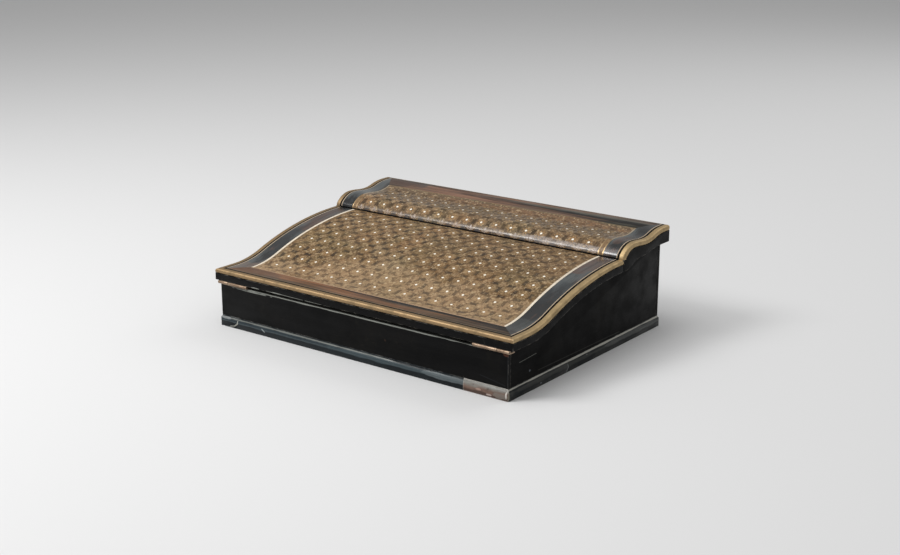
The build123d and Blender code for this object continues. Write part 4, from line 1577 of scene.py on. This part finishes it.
GOLD_DISC = InlayWood(
    "Golden medallion", Slot.FIELD, light=(0.27, 0.17, 0.085), dark=(0.18, 0.11, 0.055), patina_and_sheen=0.8,
    gloss=NOSE_GLOSS, shine=NOSE_SHINE,
)
BAR_WOOD = InlayWood(
    "Bar rosewood", Slot.FIELD, light=(0.052, 0.033, 0.017), dark=(0.024, 0.015, 0.009), patina_and_sheen=0.33
)
PALE_RING = InlayWood(
    "Pale ring", Slot.FIELD, light=(0.28, 0.195, 0.115), dark=(0.19, 0.125, 0.07), patina_and_sheen=0.8
)
NOSE_BARS = InlayWood(
    "Nose bar ebony", Slot.FIELD, light=(0.062, 0.062, 0.074), dark=(0.013, 0.02, 0.023), patina_and_sheen=0.3,
    gloss=(0.24, 0.4), shine=0.4,
)
NOSE_FLOWERS = InlayWood(
    "Nose flower wood", Slot.FIELD, light=(0.52, 0.43, 0.37), dark=(0.33, 0.26, 0.21), patina_and_sheen=0.45,
    gloss=NOSE_GLOSS, shine=NOSE_SHINE,
)
FLOWER_WOOD = InlayWood(
    "Flower wood", Slot.FIELD, light=(0.385, 0.26, 0.145), dark=(0.24, 0.152, 0.078), patina_and_sheen=0.6
)
PEARL = InlayWood(
    "Pearl", Slot.FIELD, light=(1.0, 0.95, 0.84), dark=(0.88, 0.81, 0.68), patina_and_sheen=0.0, gloss=(0.12, 0.25),
    shine=0.6,
)
RING_BRASS = AgedMetal("Inlaid brass ring", Slot.FIELD, metal=(0.55, 0.38, 0.20), patina_level=0.45)
LINE_BRASS = AgedMetal("Inlaid brass line", Slot.STRINGING, metal=(0.52, 0.36, 0.19), patina_level=0.5)
NOSE_WOOD = InlayWood(
    "Light end wood", Slot.FIELD, light=(0.30, 0.19, 0.105), dark=(0.2, 0.125, 0.065), patina_and_sheen=0.4
)
RED_BROWN = (0.085, 0.039, 0.023)
# A blue-grey for painted sheen on the borders.
SLATE_SHEEN = (0.022, 0.029, 0.033)
BANDS_FRONT = BandingWood(
    "Front border wood", Slot.BANDING, black=(0.010, 0.0085, 0.0075), red=(0.245, 0.112, 0.052),
    pale=(0.11, 0.072, 0.043), red_level=0.475, leftward=0.55, gloss=(0.25, 0.45), shine=0.12,
    tone_and_sheen_spots=(ChipOrPaintedLight((-158.0, -135.0, 64.4), (36.0, 22.0, 6.0), (0.062, 0.05, 0.04), 0.6, 40.0),),
)
BANDS_X = BandingWood(
    "Back border wood", Slot.BANDING, black=(0.012, 0.011, 0.0095), red=(0.24, 0.13, 0.085),
    pale=(0.10, 0.095, 0.075), red_level=0.49, leftward=0.45, gloss=(0.3, 0.5), shine=0.12,
    # The slate spot on the back border is painted sheen.
    tone_and_sheen_spots=(ChipOrPaintedLight((-172.0, 136.0, 114.6), (42.0, 22.0, 6.0), SLATE_SHEEN, 0.8, 40.0),),
)
BANDS_Y = BandingWood(
    "Border wood, grain front to back", Slot.BANDING, grain=GrainWay.ALONG_Y, pale=(0.075, 0.085, 0.086),
    red_level=0.66, shine=0.8, gloss=(0.2, 0.32),
    # The slate spots and the grey-green spot near the right front are painted sheen.
    tone_and_sheen_spots=(
        ChipOrPaintedLight((180.0, 28.0, 92.0), (22.0, 40.0, 40.0), RED_BROWN, 0.75, 45.0),
        ChipOrPaintedLight((180.0, -42.0, 78.0), (22.0, 26.0, 40.0), SLATE_SHEEN, 0.6, 60.0),
        ChipOrPaintedLight((180.0, -112.0, 67.0), (22.0, 18.0, 20.0), (0.048, 0.056, 0.053), 0.75, 60.0),
        ChipOrPaintedLight((182.0, -136.0, 64.4), (14.0, 9.0, 6.0), (0.004, 0.004, 0.006), 0.9, 45.0),
        ChipOrPaintedLight((-180.0, 6.0, 88.0), (22.0, 40.0, 40.0), RED_BROWN, 0.8, 45.0),
        ChipOrPaintedLight((-180.0, -60.0, 78.0), (22.0, 26.0, 40.0), SLATE_SHEEN, 0.6, 60.0),
        ChipOrPaintedLight((-180.0, -122.0, 66.0), (22.0, 18.0, 20.0), (0.13, 0.09, 0.065), 0.8, 45.0),
        ChipOrPaintedLight((182.0, 80.0, 110.0), (8.0, 16.0, 8.0), RED_BROWN, 0.7, 60.0),
    ),
)
PALE_LINES = InlayWood(
    "Pale stringing", Slot.STRINGING, light=(0.92, 0.84, 0.70), dark=(0.72, 0.63, 0.50), patina_and_sheen=0.1
)
EDGE_LINES = InlayWood(
    "Outer line", Slot.STRINGING, light=(0.66, 0.54, 0.40), dark=(0.47, 0.37, 0.26), patina_and_sheen=0.15
)
PINK_LINES = InlayWood(
    "Pinkish stringing", Slot.STRINGING, light=(0.46, 0.31, 0.20), dark=(0.34, 0.22, 0.135), patina_and_sheen=0.25
)
DULL_LINES = InlayWood(
    "Dull line", Slot.STRINGING, light=(0.15, 0.13, 0.09), dark=(0.09, 0.08, 0.055), patina_and_sheen=0.3
)
OLIVE_LINES = InlayWood(
    "Olive stringing", Slot.STRINGING, light=(0.26, 0.21, 0.13), dark=(0.17, 0.14, 0.085), patina_and_sheen=0.4
)
REAR_LINES = InlayWood(
    "Worn stringing", Slot.STRINGING, light=(0.52, 0.47, 0.37), dark=(0.34, 0.30, 0.22), patina_and_sheen=0.3
)
MOULDING_BRASS = AgedMetal("Moulding brass", Slot.MOULDING, gloss=(0.56, 0.7))
# A brighter copy of the moulding brass for the right side: painted light.
LIT_SIDE_BRASS = AgedMetal(
    "Moulding brass, painted brighter on the lit side", Slot.MOULDING, metal=(0.50, 0.37, 0.20), patina=(0.28, 0.205, 0.11),
    edge=(0.66, 0.53, 0.36), gloss=(0.56, 0.7),
)
HINGE_BRASS = AgedMetal(
    "Hinge brass", Slot.HINGE, metal=(0.37, 0.27, 0.19), patina=(0.15, 0.095, 0.06), patina_level=0.5,
    edge=(0.52, 0.41, 0.31), gloss=(0.44, 0.6),
)
# Dark iron pins, darkened also as painted shade in the gaps between the knuckles.
PIN_METAL = AgedMetal("Hinge pin metal", Slot.HINGE, metal=(0.12, 0.09, 0.07), patina=(0.05, 0.035, 0.028))
INKWELL_BRASS = AgedMetal("Inkwell brass", Slot.INKWELL_BRASS, metal=(0.50, 0.36, 0.19))
GLASS = CutGlass("Inkwell glass", Slot.GLASS)
LINING_LEATHER = Leather("Lining leather", Slot.LEATHER)
LINING_PAPER = AgedPaper("Lining paper", Slot.PAPER)

SLOPE_PROFILE = SideProfile((-148.4, 64.4), 0.0, (Bend(26.7), *ogee(174.5, 32.0, 114.6)))
REAR_PROFILE = SideProfile(
    (53.4, 96.4), 90.0, (*nose(23.5, 14.3, 45.0), *ogee(26.0, -1.7), *ogee(37.0, 5.6, 50.0), Bend(9.7))
)


# Sub-assemblies


@dataclass
class SubAssembly(ABC):
    """A group of pieces that a maker puts together at one bench."""

    @abstractmethod
    def build(self) -> None:
        """Builds the group's pieces."""


@dataclass
class Carcase(SubAssembly):
    """The four walls, black outside and plain wood inside, with the parts fitted between them."""

    rounding: float = 0.5
    fitted_rounding: float = 0.4
    inner_half: float = 185.6
    inner_front: float = -138.7
    inner_back: float = 134.1
    steepest: float = 0.5

    def build(self) -> None:
        """Builds the walls and what stands between them."""
        walls = {"front_wall": FRONT_WOOD, "back_wall": OUTER_X, "left_wall": OUTER_Y, "right_wall": OUTER_Y}
        for node, finish in walls.items():
            finished_copy(node, Body.CASE, finish, self.rounding, self.line_inside)
        for node in (
            "bottom_board", "partition", "nib_box_rails", "pen_tray", "left_divider", "right_divider",
            "pen_tray_cleats",
        ):
            finished_copy(node, Body.CASE, INNER_WOOD, self.fitted_rounding)
        finished_copy("paper_well_lining", Body.CASE, LINING_PAPER)

    def line_inside(self, data: bpy.types.Mesh) -> None:
        """Gives the upright faces that look into the case the interior wood.

        Args:
            data: The mesh of a wall.
        """
        data.materials.append(INNER_WOOD.material())
        for face in data.polygons:
            x, y, _ = face.center / MM
            inside = abs(x) < self.inner_half and self.inner_front < y < self.inner_back
            if inside and abs(face.normal.z) < self.steepest:
                face.material_index = 1


@dataclass
class Plinth(SubAssembly):
    """The low plinth strips round the foot of the case, with a repaired end at the front right."""

    rounding: float = 0.5

    def build(self) -> None:
        """Builds the strips."""
        for node in ("plinth_front_left_end", "plinth_front", "plinth_back"):
            finished_copy(node, Body.CASE, PLINTH_X, self.rounding)
        for node in ("plinth_left", "plinth_right_front", "plinth_right_rear"):
            finished_copy(node, Body.CASE, PLINTH_Y, self.rounding)
        finished_copy("plinth_front_repair", Body.CASE, REPAIR, self.rounding)


@dataclass(frozen=True)
class Band:
    """One band of a lid's border, between an outer and an inner edge.

    Each edge is a half width and the length along the profile where its cross piece lies.
    """

    outer: Place
    inner: Place

    def side(self, sign: int, open_end: float) -> list[Place]:
        """The outline of the band's piece on one side.

        Args:
            sign: -1 for the left side, 1 for the right.
            open_end: The length along the profile where the piece ends.

        Returns:
            The outline's corners.
        """
        (wide, first), (narrow, last) = self.outer, self.inner
        far, near = sign * wide, sign * narrow
        return [(far, first), (near, last), (near, open_end), (far, open_end)]

    def cross(self) -> list[Place]:
        """The outline of the band's piece across the lid."""
        (wide, first), (narrow, last) = self.outer, self.inner
        return [(-wide, first), (wide, first), (narrow, last), (-narrow, last)]


@dataclass
class Lid(SubAssembly):
    """One lid's board, lining, borders and field, without its inlaid figures."""

    name: str
    body: Body
    profile: SideProfile
    open_end: float
    outer_band: Band
    outer_line: Band
    border: Band
    stringing: Band
    cross_side: str
    cross_border: Finish
    cross_stringing: Finish
    cross_edge: Finish
    side_stringing: Finish
    ground: Finish
    lip: Place
    veneer: float = 0.9
    rounding: float = 0.45
    half_lip: float = 193.6
    lip_top: float = 0.05

    def build(self) -> None:
        """Builds the board and everything that is glued on it."""
        finished_copy(f"{self.name}_board", self.body, LID_WOOD, self.rounding)
        finished_copy(f"{self.name}_lining", self.body, LINING_LEATHER)
        field = self.strip(rectangle(*self.stringing.inner, self.open_end))
        self.glue("field_ground", field, self.ground, "field")
        for sign, side in SIDES:
            border = self.strip(self.border.side(sign, self.open_end))
            self.glue(f"{side}_border_wood", border, BANDS_Y, f"{side}_border")
        cross = self.cross_side
        border = self.strip(self.border.cross())
        self.glue(f"{cross}_border_wood", border, self.cross_border, f"{cross}_border")
        self.glue("stringing_sides", self.sides(self.stringing), self.side_stringing, "stringing")
        self.glue(f"stringing_{cross}", self.strip(self.stringing.cross()), self.cross_stringing)
        self.glue("outer_line_sides", self.sides(self.outer_line), EDGE_LINES)
        self.glue(f"outer_line_{cross}", self.strip(self.outer_line.cross()), DULL_LINES)
        self.glue("outer_band_sides", self.sides(self.outer_band), BLACK_BANDS_AND_SEAM_SHADE)
        self.glue(f"outer_band_{cross}", self.strip(self.outer_band.cross()), self.cross_edge)
        # A near-black strip at the seam between the lids: painted shade for the gap.
        lip = lay_flat(self.profile, rectangle(self.half_lip, *self.lip), self.lip_top, self.veneer)
        self.glue("lip", lip, BLACK_BANDS_AND_SEAM_SHADE)

    def glue(self, what: str, mesh: Mesh, finish: Finish, node: str = "") -> None:
        """Ships one strip of the lid.

        Args:
            what: The strip's name, without the lid's.
            mesh: The strip's mesh.
            finish: Its finish.
            node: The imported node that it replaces, without the lid's name.
        """
        ship(f"{self.name}_{what}", mesh, self.body, finish, [f"{self.name}_{node}"] if node else ())

    def strip(self, outline: Sequence[Place]) -> Mesh:
        """A strip of veneer with the given outline."""
        return lay_flat(self.profile, outline, 0.0, self.veneer)

    def sides(self, band: Band) -> Mesh:
        """The two sides of a band, as one mesh."""
        return joined(self.strip(band.side(sign, self.open_end)) for sign, _ in SIDES)


@dataclass(frozen=True)
class Rows:
    """Even rows of figures over a lid: the first one's place along the profile, and their number."""

    first: float
    count: int


@dataclass
class Inlay(SubAssembly):
    """The lattice of medallions, bars and flowers over one lid's field.

    The petals of rays and flowers are given by distances from their middle and half widths there.
    """

    name: str
    body: Body
    profile: SideProfile
    medallion_rows: Rows
    bar_rows: Rows
    row_pitch: float
    limits: Place
    column_pitch: float = 20.2
    columns: int = 16
    top: float = 0.06
    sunk: float = 0.3
    jitter: float = 0.12
    turn: float = 0.03
    seed: int = 11
    disc: Finish = DISC_WOOD
    rays: Finish = RAY_WOOD
    rings: Finish = RING_BRASS
    lying_bars: Finish = BAR_WOOD
    blossoms: Finish = FLOWER_WOOD
    bar_half_size: Place = (2.2, 5.0)
    bar_hollow: float = 1.1
    bar_waist: float = 0.12
    bar_steps: int = 4
    medallion_radius: float = 6.3
    ring_radii: Place = (6.15, 6.5)
    dot_radius: float = 1.4
    ray_top: float = 0.09
    dot_top: float = 0.11
    ray_stations: tuple[Place, ...] = ((2.3, 0.15), (3.9, 0.5), (5.5, 0.15))
    flower_stations: tuple[Place, ...] = ((0.5, 0.35), (1.8, 1.15), (3.1, 1.25), (4.3, 0.4))
    chain_step: float = 0.5

    def build(self) -> None:
        """Builds each kind of figure over the whole field."""
        rows, columns = self.medallion_rows, self.columns
        medallion = Figure(self.top, self.sunk).disc(self.medallion_radius, rings=3, around=20)
        self.repeat("medallions", medallion, self.disc, rows, columns, 1)
        ring = Figure(self.top, self.sunk).ring(*self.ring_radii, around=22)
        self.repeat("medallion_rings", ring, self.rings, rows, columns, 1)
        rays = Figure(self.ray_top, self.sunk).petals(8, 0.5, self.ray_stations)
        self.repeat("medallion_rays", rays, self.rays, rows, columns, 1)
        dot = Figure(self.dot_top, self.sunk).disc(self.dot_radius, rings=1, around=10)
        self.repeat("pearl_dots", dot, PEARL, rows, columns, 1)
        self.repeat("tall_bars", self.bar(False), BAR_WOOD, rows, columns + 1, 2)
        self.repeat("wide_bars", self.bar(True), self.lying_bars, self.bar_rows, columns, 3)
        flower = Figure(self.top, self.sunk).petals(4, 0.0, self.flower_stations)
        self.repeat("flowers", flower, self.blossoms, self.bar_rows, columns + 1, 4)

    def repeat(self, what: str, figure: Figure, finish: Finish, rows: Rows, columns: int, seed: int) -> None:
        """Repeats one figure on the lattice.

        Args:
            what: The figure's name.
            figure: The drawn figure.
            finish: Its finish.
            rows: Its rows.
            columns: The number of columns.
            seed: What is added to the seed, the same for pieces that stray together.
        """
        holder = figure.holder(f"{self.name}_{what}_figure")
        lengths = {
            "Column Pitch": self.column_pitch, "Row Pitch": self.row_pitch, "First Row": rows.first,
            "Lowest Row": self.limits[0], "Highest Row": self.limits[1], "Jitter": self.jitter,
        }
        values = {
            "Figure": holder, "Columns": columns, "Rows": rows.count, "Turn": self.turn,
            "Seed": self.seed * 10 + seed, "Finish": finish.material(),
            **{name: length * MM for name, length in lengths.items()},
        }
        mesh = grown(f"{self.name}_{what}", self.chain(), values)
        drawn = holder.data
        bpy.data.objects.remove(holder)
        bpy.data.meshes.remove(drawn)
        ship(f"{self.name}_{what}", mesh, self.body, finish)

    def chain(self) -> bpy.types.Mesh:
        """Draws the lid's profile as short edges.

        Returns:
            The chain of edges.
        """
        stops = self.profile.stops(0.0, self.profile.length, self.chain_step)
        points = [in_metres(0.0, *self.profile.at(stop)) for stop in stops]
        data = bpy.data.meshes.new("profile")
        data.from_pydata(points, [(one, one + 1) for one in range(len(stops) - 1)], [])
        return data

    def bar(self, lying: bool) -> Figure:
        """Draws a bar whose ends are hollowed for the flowers.

        Args:
            lying: Whether it lies across the lid, or stands.

        Returns:
            The bar.
        """
        half_width, half_length = self.bar_half_size
        grid = []
        for row in range(2 * self.bar_steps + 1):
            share = row / self.bar_steps - 1
            waist = half_width * (1 - self.bar_waist * (1 - share * share))
            line = []
            for column in (-1.0, 0.0, 1.0):
                hollow = self.bar_hollow * (1 - abs(column)) * abs(share)
                length = share * half_length - math.copysign(hollow, share)
                line.append((length, column * waist) if lying else (column * waist, length))
            grid.append(line)
        return Figure(self.top, self.sunk).patch(grid)


@dataclass
class NoseEnds(SubAssembly):
    """The brass lines and light wood that close the field at both ends of the rear lid's nose."""

    first: float = 1.2
    last: float = 26.0
    inner_line: Place = (167.4, 168.5)
    outer_line: Place = (172.8, 174.2)
    line_top: float = 0.1
    wood_top: float = 0.08
    sunk: float = 0.3

    def build(self) -> None:
        """Builds the lines and the wood between them."""
        self.lay("nose_end_lines", (self.inner_line, self.outer_line), self.line_top, LINE_BRASS)
        self.lay("nose_end_wood", ((self.inner_line[1], self.outer_line[0]),), self.wood_top, NOSE_WOOD)

    def lay(self, name: str, strips: Sequence[Place], top: float, finish: Finish) -> None:
        """Lays strips on both sides and ships them as one piece.

        Args:
            name: The piece's name.
            strips: The two half widths between which each strip lies.
            top: The height of the strips' upper face above the lid.
            finish: Their finish.
        """
        meshes = []
        for sign, _ in SIDES:
            for near, far in strips:
                outline = [
                    (sign * near, self.first), (sign * far, self.first), (sign * far, self.last),
                    (sign * near, self.last),
                ]
                meshes.append(lay_flat(REAR_PROFILE, outline, top, self.sunk))
        ship(name, joined(meshes), Body.REAR_LID, finish)


@dataclass
class Mouldings(SubAssembly):
    """The brass mouldings along the edges of the lids."""

    half_width: float = 200.0
    width: float = 6.3
    slope_height: float = 4.8
    rear_height: float = 5.6
    outer_round: float = 2.2
    under_round: float = 1.6
    edge_round: float = 0.4
    round_steps: int = 6
    end_gap: float = 0.01
    step: float = 1.0

    def build(self) -> None:
        """Builds the side mouldings of both lids and the slope's front moulding."""
        # The right side's mouldings get the brighter brass, painted light.
        for (sign, side), brass in zip(SIDES, (MOULDING_BRASS, LIT_SIDE_BRASS)):
            slope = self.side(SLOPE_PROFILE, sign, self.slope_height, True)
            self.nail(f"slope_lid_{side}_moulding", slope, Body.SLOPE_LID, brass)
            rear = self.side(REAR_PROFILE, sign, self.rear_height, False)
            self.nail(f"rear_lid_{side}_moulding", rear, Body.REAR_LID, brass)
        self.nail("slope_lid_front_moulding", self.front(), Body.SLOPE_LID, MOULDING_BRASS)

    def nail(self, node: str, mesh: Mesh, body: Body, brass: Finish) -> None:
        """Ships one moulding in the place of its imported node."""
        ship(f"{node}_brass", mesh, body, brass, [node])

    def section(self, height: float) -> list[Place]:
        """The moulding's section, as a depth from the outer edge and a height above the lid's face.

        Args:
            height: The moulding's height.

        Returns:
            The section's corners in order.
        """
        steps = self.round_steps
        turns = [math.radians(90 * step / steps) for step in range(steps + 1)]
        below, above = self.under_round, self.outer_round
        under = [(below * (1 - math.sin(turn)), below * (1 - math.cos(turn)) - height) for turn in turns]
        rounded = [(above * (1 - math.cos(turn)), above * (math.sin(turn) - 1)) for turn in turns]
        eased = [(self.width - self.edge_round, 0.0), (self.width, -self.edge_round)]
        return [*under, *rounded, *eased, (self.width, -height)]

    def side(self, profile: SideProfile, sign: int, height: float, mitred: bool) -> Mesh:
        """Sweeps the section along a lid's side.

        Args:
            profile: The lid's profile.
            sign: -1 for the left side, 1 for the right.
            height: The moulding's height.
            mitred: Whether its front end is mitred.

        Returns:
            The moulding's mesh.
        """
        section = self.section(height)
        start = self.width + self.end_gap if mitred else 0.0
        stops = profile.stops(start, profile.length - self.end_gap, self.step)
        rows = [[stop] * len(section) for stop in stops]
        if mitred:
            rows.insert(0, [depth for depth, _ in section])
        return sweep([self.placed(profile, sign, section, row) for row in rows])

    def front(self) -> Mesh:
        """Sweeps the section along the slope's front edge, with a mitre at both ends.

        Returns:
            The moulding's mesh.
        """
        section = self.section(self.slope_height)
        depths = [depth for depth, _ in section]
        return sweep([self.placed(SLOPE_PROFILE, sign, section, depths) for sign, _ in SIDES])

    def placed(
        self, profile: SideProfile, sign: int, section: Sequence[Place], row: Sequence[float]
    ) -> list[Vector]:
        """Places the section's corners on one side of a lid.

        Args:
            profile: The lid's profile.
            sign: -1 for the left side, 1 for the right.
            section: The section's corners.
            row: The length along the profile where each corner lies.

        Returns:
            The corners' places.
        """
        return [
            in_metres(sign * (self.half_width - depth), *profile.at(along, level))
            for along, (depth, level) in zip(row, section)
        ]


@dataclass
class Hinges(SubAssembly):
    """The butt hinges of both lids, with their pins and screws."""

    rounding: float = 0.15

    def build(self) -> None:
        """Builds the leaves, pins and screws."""
        for end, body in (("front", Body.SLOPE_LID), ("rear", Body.REAR_LID)):
            for _, side in SIDES:
                finished_copy(f"{side}_{end}_hinge_case_leaf", Body.CASE, HINGE_BRASS, self.rounding)
                finished_copy(f"{side}_{end}_hinge_lid_leaf", body, HINGE_BRASS, self.rounding)
            finished_copy(f"{end}_hinge_pins", Body.CASE, PIN_METAL)
            finished_copy(f"{end}_hinge_case_screws", Body.CASE, HINGE_BRASS)
            finished_copy(f"{end}_hinge_lid_screws", body, HINGE_BRASS)


@dataclass
class Inkwells(SubAssembly):
    """The two glass inkwells with brass collars and hinged caps."""

    def build(self) -> None:
        """Builds the glasses, collars, caps and cap pins."""
        for side, body in (("left", Body.LEFT_CAP), ("right", Body.RIGHT_CAP)):
            finished_copy(f"{side}_inkwell_glass", Body.CASE, GLASS)
            finished_copy(f"{side}_inkwell_collar", Body.CASE, INKWELL_BRASS)
            finished_copy(f"{side}_inkwell_cap", body, INKWELL_BRASS)
        finished_copy("inkwell_cap_pins", Body.CASE, INKWELL_BRASS)


# The studio


@dataclass(frozen=True)
class Lamp:
    """A square area lamp that looks at the box, in metres and watts."""

    name: str
    place: Point
    size: float
    power: float

    def hang(self, target: Point) -> None:
        """Hangs the lamp, turned to the box.

        Args:
            target: The place that it looks at.
        """
        light = bpy.data.lights.new(self.name, "AREA")
        light.size = self.size
        light.energy = self.power
        holder = linked(self.name, light)
        holder.location = self.place
        holder.rotation_euler = (Vector(self.place) - Vector(target)).to_track_quat("Z", "Y").to_euler()


@dataclass
class Studio(SubAssembly):
    """A pale floor and soft light from the front left, with the camera of the picture, in metres."""

    target: Point = (0.01139, 0.0016, 0.05621)
    azimuth: float = 37.15
    elevation: float = 16.58
    distance: float = 1.59146
    lens: float = 57.89
    sensor: float = 36.0
    sight: float = 100.0
    horizon: float = 12.0
    floor_colour: Colour = (0.72, 0.72, 0.72)
    floor_dullness: float = 0.9
    floor_shine: float = 0.1
    fill: float = 0.4
    background: float = 0.5
    lamps: tuple[Lamp, ...] = (
        Lamp("Key", (-0.5, -0.6, 2.6), 1.6, 23.0),
        Lamp("Front", (-1.0, -1.3, 1.58), 0.8, 27.0),
        Lamp("Back", (0.6, 2.0, 1.7), 1.6, 12.0),
    )

    def build(self) -> None:
        """Builds the floor, the light and the camera."""
        self.lay_floor()
        self.light_world()
        for lamp in self.lamps:
            lamp.hang(self.target)
        self.set_camera()

    def lay_floor(self) -> None:
        """Lays a plain floor out to the horizon."""
        far = self.horizon
        mesh = bmesh.new()
        mesh.faces.new([mesh.verts.new((x, y, 0.0)) for x, y in rectangle(far, -far, far)])
        data = mesh_data("floor", mesh)
        material = bpy.data.materials.new("Floor")
        material.use_nodes = True
        shader = material.node_tree.nodes["Principled BSDF"]
        shader.inputs["Base Color"].default_value = (*self.floor_colour, 1.0)
        shader.inputs["Roughness"].default_value = self.floor_dullness
        shader.inputs["Specular IOR Level"].default_value = self.floor_shine
        data.materials.append(material)
        linked("floor", data)

    def light_world(self) -> None:
        """Fills the scene with even light, brighter where the background is seen."""
        world = bpy.data.worlds.new("Studio")
        world.use_nodes = True
        world.node_tree.nodes.clear()
        bpy.context.scene.world = world
        sheet = ShaderSheet(world.node_tree)
        rays = sheet.add("ShaderNodeLightPath").outputs
        seen = sheet.math("MAXIMUM", rays["Is Camera Ray"], rays["Is Transmission Ray"])
        strength = sheet.plus(self.fill, sheet.times(seen, self.background))
        shader = sheet.add("ShaderNodeBackground", {"Color": (1.0, 1.0, 1.0), "Strength": strength})
        sheet.add("ShaderNodeOutputWorld", {"Surface": shader.outputs[0]})

    def set_camera(self) -> None:
        """Sets the camera as in the picture."""
        turn, rise = math.radians(self.azimuth), math.radians(self.elevation)
        back = Vector((math.sin(turn) * math.cos(rise), -math.cos(turn) * math.cos(rise), math.sin(rise)))
        camera = bpy.data.cameras.new("Camera")
        camera.sensor_width = self.sensor
        camera.lens = self.lens
        camera.clip_end = self.sight
        holder = linked("Camera", camera)
        holder.location = Vector(self.target) + back * self.distance
        holder.rotation_euler = back.to_track_quat("Z", "Y").to_euler()
        bpy.context.scene.camera = holder


def slope_lid() -> Lid:
    """Gives the slope lid its sizes and finishes.

    Returns:
        The lid.
    """
    end = SLOPE_PROFILE.length
    return Lid(
        "slope_lid",
        Body.SLOPE_LID,
        SLOPE_PROFILE,
        open_end=end,
        outer_band=Band((193.7, 6.3), (191.4, 8.6)),
        outer_line=Band((191.4, 8.6), (190.4, 9.6)),
        border=Band((190.4, 9.6), (171.9, 27.0)),
        stringing=Band((171.9, 27.0), (169.0, 29.0)),
        cross_side="front",
        cross_border=BANDS_FRONT,
        cross_stringing=PINK_LINES,
        cross_edge=BLACK_BANDS_AND_SEAM_SHADE,
        side_stringing=PALE_LINES,
        ground=GROUND,
        lip=(end - 1.0, end),
    )


def rear_lid() -> Lid:
    """Gives the rear lid its sizes and finishes.

    Returns:
        The lid.
    """
    end = REAR_PROFILE.length
    return Lid(
        "rear_lid",
        Body.REAR_LID,
        REAR_PROFILE,
        open_end=0.0,
        outer_band=Band((193.7, end - 0.01), (191.4, end - 1.2)),
        outer_line=Band((191.4, end - 1.2), (190.4, end - 2.2)),
        border=Band((190.4, end - 2.2), (174.0, end - 26.95)),
        stringing=Band((174.0, end - 26.95), (172.0, end - 29.01)),
        cross_side="back",
        cross_border=BANDS_X,
        cross_stringing=OLIVE_LINES,
        cross_edge=BACK_EDGE_HIGHLIGHT,
        side_stringing=REAR_LINES,
        ground=GROUND_REAR,
        lip=(0.0, 1.2),
    )


def inlays() -> tuple[Inlay, ...]:
    """Gives each lattice its rows and finishes.

    Returns:
        The lattices of the slope, of the rear lid's nose and of its flat.
    """
    slope = Inlay(
        "slope_lid", Body.SLOPE_LID, SLOPE_PROFILE, Rows(47.4, 8), Rows(37.3, 9), row_pitch=20.16,
        limits=(29.1, 205.0),
    )
    rear = {"row_pitch": 20.63, "limits": (1.2, 73.8)}
    nose_row = Inlay(
        "rear_lid_nose", Body.REAR_LID, REAR_PROFILE, Rows(13.4, 1), Rows(3.3, 1), **rear, seed=23,
        disc=GOLD_DISC, rays=GOLD_RAYS, rings=PALE_RING, lying_bars=NOSE_BARS, blossoms=NOSE_FLOWERS,
        bar_half_size=(2.6, 4.6),
    )
    flat = Inlay(
        "rear_lid_top", Body.REAR_LID, REAR_PROFILE, Rows(34.03, 2), Rows(23.7, 3), **rear, seed=31
    )
    return slope, nose_row, flat


def main() -> None:
    """Builds the box, one sub-assembly after another."""
    logging.basicConfig(level=logging.INFO, format="%(message)s")
    bpy.context.scene.view_settings.view_transform = "Standard"
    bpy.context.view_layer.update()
    groups: tuple[SubAssembly, ...] = (
        Carcase(), Plinth(), slope_lid(), rear_lid(), *inlays(), NoseEnds(), Mouldings(), Hinges(),
        Inkwells(), Studio(),
    )
    for group in groups:
        LOG.info("%s", type(group).__name__)
        group.build()


if __name__ == "__main__":
    main()
